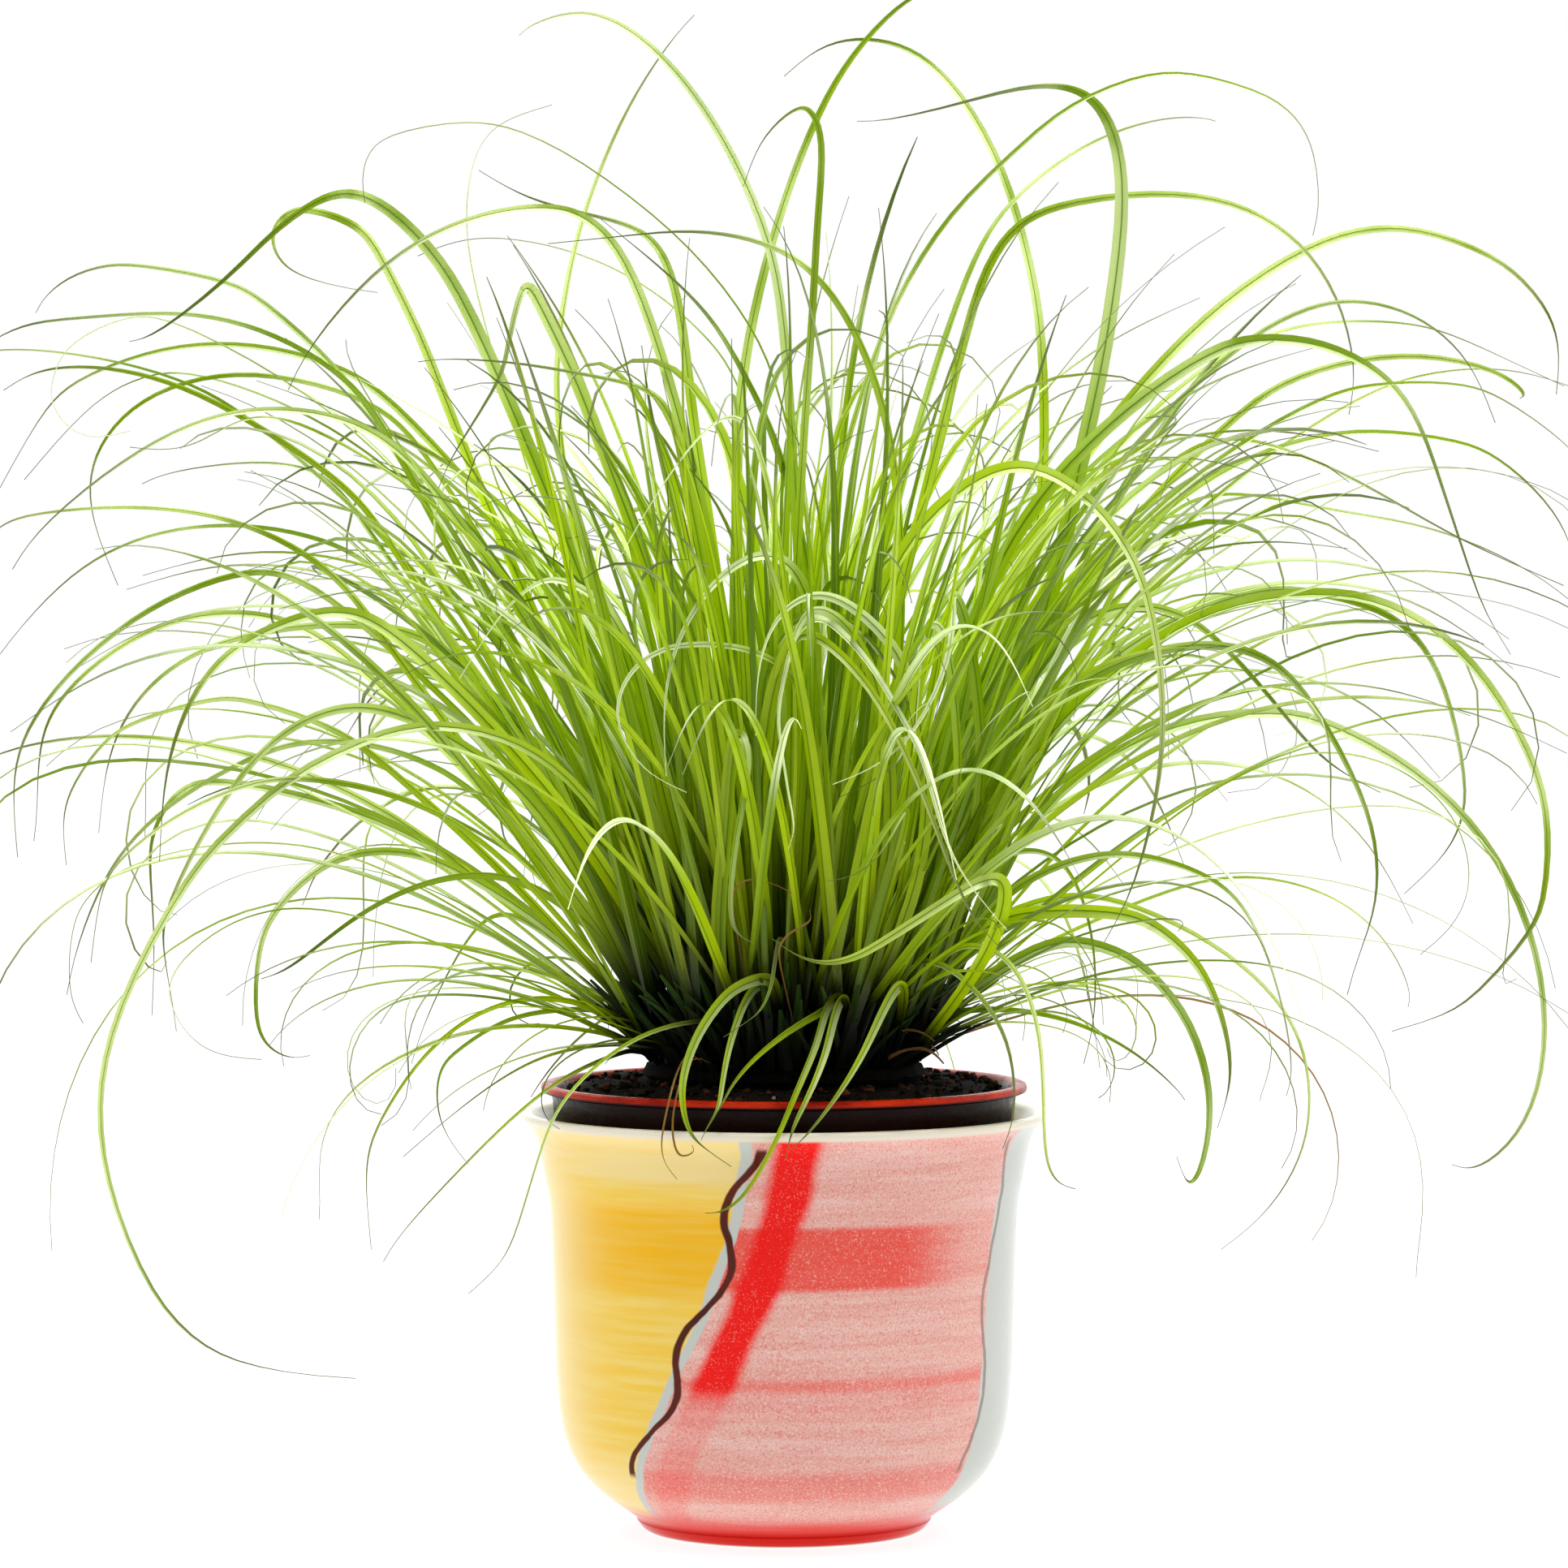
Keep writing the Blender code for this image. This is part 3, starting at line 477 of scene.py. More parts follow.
def blade_faces(sections):
    """Walls, base and tip of one blade, all with four corners."""
    ring = 4 * np.arange(sections - 1)[:, None]
    here = np.arange(4)[None, :]
    beside = (here + 1) % 4
    walls = np.stack([ring + here, ring + 4 + here, ring + 4 + beside, ring + beside], axis=-1)
    last = 4 * (sections - 1)
    ends = [[0, 1, 2, 3], [last + 3, last + 2, last + 1, last]]
    return np.vstack([walls.reshape(-1, 4), ends])


def in_scene(name, data):
    """A new object in the scene."""
    made = bpy.data.objects.new(name, data)
    bpy.context.scene.collection.objects.link(made)
    return made


def mesh_object(name, places, faces, uv_maps, material, sharp_deg=35):
    """A smooth-shaded object from places in millimetres, lists of corners and UV maps."""
    mesh = bpy.data.meshes.new(name)
    mesh.from_pydata((places * MM).tolist(), [], faces)
    for title, places_uv in uv_maps.items():
        layer = mesh.uv_layers.new(name=title)
        layer.data.foreach_set("uv", places_uv.astype(np.float32).ravel())
    mesh.shade_smooth()
    mesh.set_sharp_from_angle(angle=math.radians(sharp_deg))
    mesh.materials.append(material)
    return in_scene(name, mesh)


def blades_object(name, blades, material):
    """All blades of one piece in one mesh, each with its own place in the two UV maps."""
    places, faces, spread, marks = [], [], [], []
    used = 0
    for blade in blades:
        corners = blade_corners(blade)
        sections = len(blade["line"])
        quads = blade_faces(sections)
        places.append(corners)
        faces.append(quads + used)
        used += len(corners)
        loops = quads.ravel()
        across = np.array([0, 0.5, 1, 0.5])[loops % 4]
        spread.append(np.stack([across, (loops // 4) / (sections - 1)], axis=1))
        marks.append(np.tile([blade["tone"], blade["fate"]], (len(loops), 1)))
    uv_maps = {"UVMap": np.vstack(spread), "Blade": np.vstack(marks)}
    return mesh_object(name, np.vstack(places), np.vstack(faces).tolist(), uv_maps, material, 50)


def stands_for(piece, slot, *nodes):
    """The piece rides with the pot and replaces these solids. The slot is not used."""
    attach(piece, "root")
    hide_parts(*nodes)


def crown_height(radius):
    return CROWN_EDGE + (CROWN_TOP - CROWN_EDGE) * (1 - (radius / CROWN_RADIUS)**2)


def on_crown(x, y):
    return np.array([x, y, crown_height(math.hypot(x, y)) + CROWN_GAP])


def sunflower(count, reach):
    """Evenly spread places on the crown."""
    i = np.arange(count)
    radius = reach * np.sqrt((i + 0.5) / count)
    turn = i * GOLDEN_ANGLE
    height = crown_height(radius) + CROWN_GAP
    return np.stack([radius * np.cos(turn), radius * np.sin(turn), height], axis=1)


def wished_place(depth, points):
    """A blade that leans far to a side grows from that side of the crown."""
    x, z = points[0]
    wish = np.array([1.15 * x / (z - SOIL_TOP), depth / 90])
    return wish * SITE_RADIUS / max(np.linalg.norm(wish), 1.0)


def seen_at(x, z, y):
    """The place at depth y that covers the place (x, z) of the plane through the pot's axis."""
    scale = 1 + y / EYE_DISTANCE
    return np.array([x * scale, y, EYE_HEIGHT + (z - EYE_HEIGHT) * scale])


def node_places(node):
    return np.array([vert.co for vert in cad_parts[node].data.vertices]) / MM


def tip_depth(node, x, z):
    """How far behind the pot's axis the solid leaf's tip lies."""
    places = node_places(node)
    scale = 1 + places[:, 1] / EYE_DISTANCE
    miss = np.hypot(places[:, 0] - x * scale,
                    places[:, 2] - EYE_HEIGHT - (z - EYE_HEIGHT) * scale)
    return places[np.argmin(miss), 1]


def traced_line(site, depth, points):
    """Rises from the crown to the first point of the curve, then follows the curve."""
    flat = np.array([(site[0], site[2]), *points], float)
    reach = np.r_[0, np.cumsum(np.linalg.norm(np.diff(flat, axis=0), axis=1))]
    depths = site[1] + (depth - site[1]) * reach / reach[-1]
    curve = np.array([seen_at(x, z, y) for (x, z), y in zip(flat[1:], depths[1:])])
    gap = curve[0] - site
    leave = unit(unit(gap) + (0, 0, RISE_UPWARD))
    arrive = unit(curve[1] - curve[0])
    pull = RISE_SWING * np.linalg.norm(gap)
    rise = [site, site + (0, 0, UPRIGHT_START)]
    for t in (0.3, 0.65):
        rise.append(site * (1 - t)**3 + (site + leave * pull) * 3 * t * (1 - t)**2
                    + (curve[0] - arrive * pull) * 3 * t**2 * (1 - t) + curve[0] * t**3)
    return spline(np.vstack([rise, curve]), 8)


def frontal_blade(number, line, width, rng):
    """A blade whose width shows from the front along most of its length."""
    share = np.linspace(0, 1, LONG_SECTIONS)
    twist = np.radians(FRONTAL_TWIST_DEG + TWIST_CHANGE_DEG * np.sin(3 * share + number))
    return grown(resampled(line, LONG_SECTIONS), TO_BACK, twist, blade_width(share, width),
                 rng.uniform(0.35, 1), rng.uniform(0, 0.9))


def traced_blade(number, site, depth, width, points, rng):
    return frontal_blade(number, traced_line(site, depth, points), width, rng)


def direction(bearing):
    return np.array([math.cos(bearing), math.sin(bearing), 0.0])


def arching_points(start, bearing, lean, bend, length):
    """A blade that starts at this lean from upright and bends over more and more."""
    share = (np.arange(ARCH_STEPS) + 0.5) / ARCH_STEPS
    angle = lean + bend * share**ARCH_LATENESS
    steps = direction(bearing) * np.sin(angle)[:, None]
    steps[:, 2] = np.cos(angle)
    return np.vstack([start, start + np.cumsum(steps, axis=0) * length / ARCH_STEPS])


def shoot_blades(number, node, site, rng):
    """The four blades of a shoot, turned as the solid's are."""
    solid = node_places(node)
    bearing = math.atan2(site[1], site[0])
    lean = SHOOT_LEAN * math.hypot(site[0], site[1]) / SITE_RADIUS
    axis = direction(bearing) * math.sin(lean) + (0, 0, math.cos(lean))
    above = site + axis * SHEATH_LENGTH
    apex = above + axis * 2 * SHEATH_HALF
    size = 1 + 0.14 * math.sin(2.4 * number)
    share = np.linspace(0, 1, SHOOT_SECTIONS)
    for k, (turn, part, bend, length, width) in enumerate(SHOOT_BLADES):
        pair = [direction(bearing + math.radians(45 + 90 * c)) * SHEATH_HALF * 1.4
                for c in (k - 1, k)]
        start = (sum(above + c - axis * (c @ axis) for c in pair) + apex) / 3
        tries = []
        for more in TURN_TRIES:
            way = bearing + math.radians(turn + more)
            points = arching_points(start, way, lean * part + math.copysign(LEAST_LEAN, part),
                                    math.radians(bend) * size, length * size)
            tries.append((np.linalg.norm(solid - points[-1], axis=1).min(), way, points))
        _, way, points = min(tries, key=lambda found: found[0])
        aside = FRONT_SWING * max(-math.sin(way), 0)**6 * (1 if (number + k) % 2 else -1)
        points = points + np.linspace(0, 1, len(points))[:, None]**1.5 * (aside, 0, 0)
        rooted = np.vstack([site, points]) if k == 0 else points
        line = resampled(spline(rooted, 5), SHOOT_SECTIONS)
        yield grown(line, np.cross((0, 0, 1), direction(way)), 0.6 * np.sin(3 * share + number),
                    blade_width(share, width), rng.uniform(0.2, 0.9), rng.uniform(0, 0.95))


def between(rng, limits, count):
    return rng.uniform(limits[0], limits[1], count)


def clump_sites(clump, clumps, all_round, inner, rng):
    """Where each blade of each clump grows, how far out that is and which way it faces."""
    out = np.sqrt(rng.uniform(inner**2, 1, clumps))[clump]
    side = rng.uniform(-1, 1, clumps)[clump]
    facing = math.pi * (0.5 + side * (1 if all_round else 1 - 0.2 * np.abs(side)))
    spot = np.stack([np.cos(facing), np.sin(facing)], axis=1) * out[:, None] * FINE_SITE_RADIUS
    spot += rng.normal(0, 0.9, spot.shape)
    spot *= np.minimum(FINE_SITE_RADIUS / np.hypot(spot[:, 0], spot[:, 1]), 1)[:, None]
    height = crown_height(np.hypot(spot[:, 0], spot[:, 1])) + CROWN_GAP
    return np.column_stack([spot, height]), out, facing


def fine_blades(kind, rng):
    """One kind of blade, in clumps that share their place and lean. Few arch over to the front,
    as the plant has grown towards its sides."""
    count, all_round, inner, leans, scatter, lengths, bends, lates, widths = kind
    clumps = count // CLUMP_SIZE
    clump = np.arange(count) % clumps
    site, out, facing = clump_sites(clump, clumps, all_round, inner, rng)

    def varied(shared, own):
        return rng.normal(0, shared, clumps)[clump] + rng.normal(0, own, count)

    bearing = facing + varied(0.3, 0.25)
    front = np.clip(-np.sin(bearing), 0, 1)**1.5 * out
    lean = leans[0] + (leans[1] - leans[0]) * out**1.2 + varied(scatter, 3.5)
    lean = np.radians(lean) * (1 - FRONT_LESS_LEAN * front)
    bend = np.radians(between(rng, bends, count)) * (1 - FRONT_LESS_BEND * front)
    curled = rng.random(count) < CURLED_SHARE
    curl = np.radians(between(rng, CURL_DEG, count)) * curled * (1 - FRONT_LESS_BEND * front)
    swirl = rng.normal(0, 1.4, count) * curled
    late = between(rng, lates, count)[:, None]
    share = np.linspace(0, 1, FINE_SECTIONS)[None, :]
    end = np.clip((share - CURL_START) / (1 - CURL_START), 0, 1)
    angle = lean[:, None] + bend[:, None] * share**late + curl[:, None] * end**2
    way = bearing[:, None] + rng.normal(0, 0.5, count)[:, None] * share**2
    way = way + swirl[:, None] * end**1.5
    step = between(rng, lengths, count) / (FINE_SECTIONS - 1)
    steps = np.stack([np.sin(angle) * np.cos(way), np.sin(angle) * np.sin(way), np.cos(angle)],
                     axis=-1) * step[:, None, None]
    path = np.cumsum(steps, axis=1) - steps[:, :1]
    line = site[:, None, :] + kept_inside(site, path) * path
    across = np.cross((0, 0, 1), np.stack([np.cos(way), np.sin(way), np.zeros_like(way)], axis=-1))
    twist = rng.normal(0, 0.5, count)[:, None] + rng.normal(0, 1.1, count)[:, None] * share
    along, side = sides_of(line, across, twist)
    taper = rng.uniform(0.5, 0.95, count)[:, None]
    width = between(rng, widths, count)[:, None] * sheathed(share, FINE_SHEATH_NARROW)
    width = np.maximum(width * (1 - share)**taper, TIP_WIDTH)
    fate = rng.uniform(0, 0.9 if all_round else 1, count)
    tone = rng.random(count)
    free = clear_of_pots(line)
    return [{"line": line[i], "along": along[i], "side": side[i], "width": width[i],
             "tone": tone[i], "fate": fate[i]} for i in range(count) if free[i]]


def kept_inside(site, path):
    """How much shorter each blade grows to stay within the tuft's reach."""
    shares = np.ones(path.shape[0])
    low, high = (np.array(corner) / MM for corner in solids_box)
    low = np.array([low[0] + REACH_MARGIN, low[1] + REACH_MARGIN, GROUND_MARGIN])
    for axis in range(3):
        for limit, sign in ((high[axis] - REACH_MARGIN, 1), (low[axis], -1)):
            room = sign * (limit - site[:, axis])
            reach = np.maximum((sign * path[:, :, axis]).max(axis=1), 1e-6)
            shares = np.minimum(shares, room / reach)
    return shares[:, None, None]


def clear_of_pots(line):
    """True for each blade that doesn't pass through the pots or the peat."""
    radius = np.hypot(line[:, 3:, 0], line[:, 3:, 1])
    height = line[:, 3:, 2]
    hits = [(radius < limit) & (height < top) for limit, top in KEPT_CLEAR]
    return ~np.any(hits, axis=(0, 2))


def take_nearest(free, wish):
    """The free site nearest to the wished place, which is then no longer free."""
    gaps = [math.hypot(place[0] - wish[0], place[1] - wish[1]) for place in free]
    return free.pop(gaps.index(min(gaps)))


def long_leaves(free, rng, look):
    """The long leaves, each on the free site that suits it best, which is then no longer free."""
    for number, (width, depth, points) in enumerate(LONG_LEAVES, 1):
        node = f"long_leaf_{number:02d}"
        site = take_nearest(free, wished_place(depth, points))
        blade = traced_blade(number, site, tip_depth(node, *points[-1]), width, points, rng)
        stands_for(blades_object(f"leaf_{number:02d}", [blade], look), "blade_green", node)


def placed_blades(rng):
    """Blades placed one by one: at the sides, arching and hanging in front, and dry wisps."""
    for table, marks in ((SIDE_BLADES, {}), (FRONT_ARCS, {"fate": PAINTED_SHEEN_FATE})):
        for number, (width, depth, points) in enumerate(table):
            site = on_crown(*wished_place(depth, points))
            yield traced_blade(number, site, depth, width, points, rng) | marks
    for number, (width, points) in enumerate(FRONT_FALLS):
        curve = spline(np.array([seen_at(*point) for point in points]), 8)
        yield frontal_blade(number, curve, width, rng) | {"tone": FALL_TONE}
    share = np.linspace(0, 1, SHOOT_SECTIONS)
    for points in DRY_WISPS:
        line = resampled(spline(np.array(points, float), 8), SHOOT_SECTIONS)
        yield grown(line, TO_BACK, 2.5 * share, blade_width(share, WISP_WIDTH), 0.5, DRY_FATE)


def tufts(free, rng, look):
    """The shoots on the sites still free, each with the other blades that grow nearest to it."""
    shoots = [list(shoot_blades(number, f"shoot_{number:02d}", site, rng))
              for number, site in enumerate(free, 1)]
    sites = np.array(free)[:, :2]
    fine = (blade for kind in FINE_KINDS for blade in fine_blades(kind, rng))
    for blade in (*placed_blades(rng), *fine):
        gap = sites - blade["line"][0, :2]
        shoots[np.argmin(np.hypot(gap[:, 0], gap[:, 1]))].append(blade)
    for number, blades in enumerate(shoots, 1):
        piece = blades_object(f"tuft_{number:02d}", blades, look)
        stands_for(piece, "shoot_green", f"shoot_{number:02d}")


def through(points, steps):
    """A smooth line through the points (Catmull-Rom), with this many pieces between each two."""
    points = np.array(points, float)
    held = np.vstack([points[:1], points, points[-1:]])
    t = np.arange(steps)[:, None] / steps
    parts = []
    for i in range(len(points) - 1):
        a, b, c, d = held[i:i + 4]
        parts.append(0.5 * (2 * b + (c - a) * t + (2 * a - 5 * b + 4 * c - d) * t**2
                            + (3 * b - a - 3 * c + d) * t**3))
    return np.vstack(parts + [points[-1:]])


def turned_mesh(outline, lift=None):
    """Places and faces of a solid of revolution whose outline starts and ends on the axis, and
    its UV map: turns from the back, and decimetres up."""
    outline = np.array(outline, float)
    radius, height = outline[1:-1, 0], outline[1:-1, 1]
    turn = np.arange(TURN_STEPS) / TURN_STEPS
    angle = (turn - 0.5) * math.tau
    rings = np.stack([np.outer(radius, np.sin(angle)), -np.outer(radius, np.cos(angle)),
                      np.repeat(height[:, None], TURN_STEPS, axis=1)], axis=-1).reshape(-1, 3)
    if lift is not None:
        rings = lift(rings)
    places = np.vstack([rings, (0, 0, outline[0, 1]), (0, 0, outline[-1, 1])])
    first, last = len(rings), len(rings) + 1
    top = (len(radius) - 1) * TURN_STEPS
    faces, uvs = [], []
    for j in range(TURN_STEPS):
        k = (j + 1) % TURN_STEPS
        u, w = j / TURN_STEPS, (j + 1) / TURN_STEPS
        faces.append((first, k, j))
        uvs += [((u + w) / 2, outline[0, 1]), (w, height[0]), (u, height[0])]
        for i in range(len(radius) - 1):
            low, high = i * TURN_STEPS, (i + 1) * TURN_STEPS
            faces.append((low + j, low + k, high + k, high + j))
            uvs += [(u, height[i]), (w, height[i]), (w, height[i + 1]), (u, height[i + 1])]
        faces.append((last, top + j, top + k))
        uvs += [((u + w) / 2, outline[-1, 1]), (u, height[-1]), (w, height[-1])]
    return places, faces, np.array(uvs) * (1, 0.01)


def turned_piece(name, outline, look, slot, node, lift=None):
    """A turned solid that stands for the node."""
    places, faces, uvs = turned_mesh(outline, lift)
    stands_for(mesh_object(name, places, faces, {"UVMap": uvs}, look), slot, node)


def glazed_pot(look):
    """Glazed ceramic pot: a low foot, a round belly, a straight wall and a flared, rounded lip."""
    outline = np.vstack([POT_FOOT, through(POT_OUTSIDE, 4), POT_LIP, through(POT_INSIDE, 3),
                         POT_FLOOR])
    turned_piece("glazed_pot", outline, look, "glazed_ceramic", "outer_pot")


def plastic_pot(look):
    """Thin plastic pot with a tapered wall, a wider collar and a turned-out flange."""
    base, top, wall = NURSERY_BASE, NURSERY_TOP, NURSERY_WALL
    outside = [(0, base), (34.0, base), (34.7, base + 0.3), (NURSERY_FOOT, base + 1),
               (NURSERY_WAIST, NURSERY_WAIST_HEIGHT), (NURSERY_NECK, 96.0), (53.9, 96.9),
               (56.0, 98.2), (NURSERY_COLLAR, 98.8)]
    flange = [(57.3, top - 2.4), (57.6, top - 2.1), (59.2, top - 2.05), (59.8, top - 1.8),
              (60.0, top - 1.1), (59.8, top - 0.3), (59.2, top), (57.4, top), (56.7, top - 0.4)]
    inside = [(57.3 - wall, top - 1.2), (NURSERY_COLLAR - wall, 99.4), (NURSERY_NECK - wall, 97.2),
              (NURSERY_WAIST - wall, NURSERY_WAIST_HEIGHT), (NURSERY_FOOT - wall, base + wall + 0.6),
              (34.4 - wall, base + wall), (0, base + wall)]
    turned_piece("plastic_pot", outside + flange + inside, look, "terracotta_plastic", "nursery_pot")


def crumb_shape():
    """Corners and faces of a twenty-sided crumb of radius one."""
    long = (1 + math.sqrt(5)) / 2
    corners = [(-1, long, 0), (1, long, 0), (-1, -long, 0), (1, -long, 0), (0, -1, long),
               (0, 1, long), (0, -1, -long), (0, 1, -long), (long, 0, -1), (long, 0, 1),
               (-long, 0, -1), (-long, 0, 1)]
    faces = [(0, 11, 5), (0, 5, 1), (0, 1, 7), (0, 7, 10), (0, 10, 11), (1, 5, 9), (5, 11, 4),
             (11, 10, 2), (10, 7, 6), (7, 1, 8), (3, 9, 4), (3, 4, 2), (3, 2, 6), (3, 6, 8),
             (3, 8, 9), (4, 9, 5), (2, 4, 11), (6, 2, 10), (8, 6, 7), (9, 8, 1)]
    return unit(np.array(corners, float)), np.array(faces)


def soil_height(radius, edge):
    """Peat is lowest at its edge and soon rises to its level top."""
    return SOIL_EDGE + (SOIL_TOP - SOIL_EDGE) * min((edge - radius) / SOIL_RISE_WIDTH, 1)


def lumpy(places):
    """Peat that rises and falls a little, kept level at the wall."""
    radius = np.hypot(places[:, 0], places[:, 1])
    for k, place in enumerate(places):
        if place[2] > LUMPS_START and radius[k] < CRUMB_REACH:
            rise = noise.noise(Vector(place) * 0.16) * 0.9 + noise.noise(Vector(place) * 0.5) * 0.5
            places[k, 2] += rise * min((CRUMB_REACH - radius[k]) / LUMPS_FADE, 1)
    return places


def crumb(ball, rng):
    """Places of one crumb that lies on the peat."""
    radius = CRUMB_REACH * math.sqrt(rng.uniform(0.2, 1))
    turn = rng.uniform(0, math.tau)
    size = CRUMB_LEAST + CRUMB_MORE * rng.random()**3
    height = soil_height(radius, SOIL_RADIUS) + 0.3 * size
    shape = ball * rng.uniform(0.65, 1.3, ball.shape) * size * (1, rng.uniform(0.6, 1), 0.7)
    spin = rng.uniform(0, math.tau)
    x = shape[:, 0] * math.cos(spin) - shape[:, 1] * math.sin(spin)
    y = shape[:, 0] * math.sin(spin) + shape[:, 1] * math.cos(spin)
    reach = min(radius, CRUMB_WALL - size * 1.3)
    centre = np.array([reach * math.cos(turn), reach * math.sin(turn), height])
    return np.stack([x, y, shape[:, 2]], axis=1) + centre


def peat(look, rng):
    """Peat that fills the plastic pot, with crumbs, bark and perlite lying on it."""
    wall = NURSERY_WALL + 0.4
    low = NURSERY_BASE + wall
    side = [(0, low), (NURSERY_FOOT - wall, low), (NURSERY_WAIST - wall, NURSERY_WAIST_HEIGHT),
            (NURSERY_NECK - wall, 97.6), (56.2 - wall, 100.0),
            (NURSERY_COLLAR - wall, SOIL_EDGE - 0.8)]
    top = [(r, soil_height(r, SOIL_RADIUS - wall)) for r in np.arange(CRUMB_REACH, 1, -1.5)]
    places, faces, uvs = turned_mesh(side + top + [(0, SOIL_TOP)], lumpy)
    marks = [np.tile((0.15, 0.0), (len(uvs), 1))]
    ball, ball_faces = crumb_shape()
    all_places = [places]
    for number in range(CRUMB_COUNT):
        all_places.append(crumb(ball, rng))
        faces += (ball_faces + len(places) + number * len(ball)).tolist()
        marks.append(np.tile((rng.random()**2, rng.random()), (ball_faces.size, 1)))
    spread = np.vstack([uvs, np.tile((0.5, 1.1), (CRUMB_COUNT * ball_faces.size, 1))])
    piece = mesh_object("peat", np.vstack(all_places), faces,
                        {"UVMap": spread, "Blade": np.vstack(marks)}, look, 60)
    stands_for(piece, "dark_peat", "soil")


def old_sheath(site, rng):
    """One of the close, old sheath bases, or a dead leaf end among them."""
    out = math.hypot(site[0], site[1]) / SHEATH_REACH
    way = math.atan2(site[1], site[0]) + rng.normal(0, 0.4)
    dead = rng.random() < DEAD_SHARE
    more, bends, lengths, narrow = DEAD_SHEATH if dead else LIVE_SHEATH
    scatter = rng.normal(0, SHEATH_LEAN_SCATTER_DEG)
    lean = math.radians(OUTER_SHEATH_LEAN_DEG * out + scatter + more)
    bend = math.radians(rng.uniform(*bends))
    points = arching_points(site, way, lean, bend, rng.uniform(*lengths))
    line = resampled(spline(points, 3), SHEATH_SECTIONS)
    line[:, 2] = np.maximum(line[:, 2], SOIL_TOP + 0.5)
    share = np.linspace(0, 1, SHEATH_SECTIONS)
    width = rng.uniform(*SHEATH_WIDTHS) * (1 - 0.75 * share**1.5) * narrow
    return grown(line, np.cross((0, 0, 1), direction(way)), 0.4 * share, width, rng.random(),
                 0.99 if dead else rng.uniform(0, 0.5))


def crown_base(mound_look, sheath_look, rng):
    """The mound that the tuft grows from, its close sheath bases and the dead leaf ends on it."""
    low = SOIL_TOP + 0.4
    outline = [(0, low), (CROWN_RADIUS - 2, low), (CROWN_RADIUS, CROWN_EDGE - 1.4)]
    outline += [(r, crown_height(r)) for r in np.arange(CROWN_RADIUS - 1, 1, -1.5)]

    def rough(places):
        for k, place in enumerate(places):
            places[k, 2] += noise.noise(Vector(place) * 0.4) * 0.6
        return places

    turned_piece("root_mound", outline + [(0, CROWN_TOP)], mound_look, "dark_sheaths", "crown",
                 rough)
    sheaths = [old_sheath(site, rng) for site in sunflower(SHEATH_COUNT, SHEATH_REACH)]
    stands_for(blades_object("sheath_bases", sheaths, sheath_look), "dark_sheaths", "crown")


def rgb(red, green, blue):
    """A colour given as screen values from 0 to 255."""
    def linear(value):
        value /= 255
        return value / 12.92 if value <= 0.04045 else ((value + 0.055) / 1.055)**2.4
    return (linear(red), linear(green), linear(blue), 1.0)


class Nodes:
    """The nodes of a material or of the surroundings, with short calls for those used here."""

    def __init__(self, owner):
        owner.use_nodes = True
        self.nodes = owner.node_tree.nodes
        self.links = owner.node_tree.links

    def put(self, socket, value):
        if isinstance(value, bpy.types.NodeSocket):
            self.links.new(value, socket)
        else:
            socket.default_value = value

    def fill(self, node, **values):
        """Gives the node's inputs of these names their values."""
        for title, value in values.items():
            self.put(node.inputs[title.replace("_", " ")], value)
        return node

    def made(self, kind, *values, **settings):
        """A new node with these settings, and these values on its first inputs."""
        node = self.nodes.new("ShaderNode" + kind)
        for title, setting in settings.items():
            setattr(node, title, setting)
        for socket, value in zip(node.inputs, values):
            self.put(socket, value)
        return node

    def math(self, operation, *values):
        return self.made("Math", *values, operation=operation).outputs[0]

    def times(self, first, second):
        return self.math("MULTIPLY", first, second)

    def scaled(self, value, factor, added):
        return self.math("MULTIPLY_ADD", value, factor, added)

    def most(self, first, second):
        return self.math("MAXIMUM", first, second)

    def ramp(self, value, low, high, start=0.0, end=1.0):
        """Runs smoothly from start to end as the value goes from low to high."""
        node = self.made("MapRange", value, low, high, start, end, interpolation_type="SMOOTHSTEP")
        return node.outputs[0]

    def band(self, value, centre, half, soft):
        """One within half of the centre, and zero beyond the soft edge."""
        off = self.math("ABSOLUTE", self.math("SUBTRACT", value, centre))
        return self.ramp(off, half, half + soft, 1.0, 0.0)

    def mix(self, share, first, second):
        """Blends two colours, which this node takes on inputs 6 and 7 and gives on output 2."""
        node = self.made("Mix", share, data_type="RGBA")
        self.put(node.inputs[6], first)
        self.put(node.inputs[7], second)
        return node.outputs[2]

    def layered(self, color, *layers):
        """The colour under layers, each with its share and its own colour."""
        for share, over in layers:
            color = self.mix(share, color, over)
        return color

    def parts(self, vector):
        return self.made("SeparateXYZ", vector).outputs[:3]


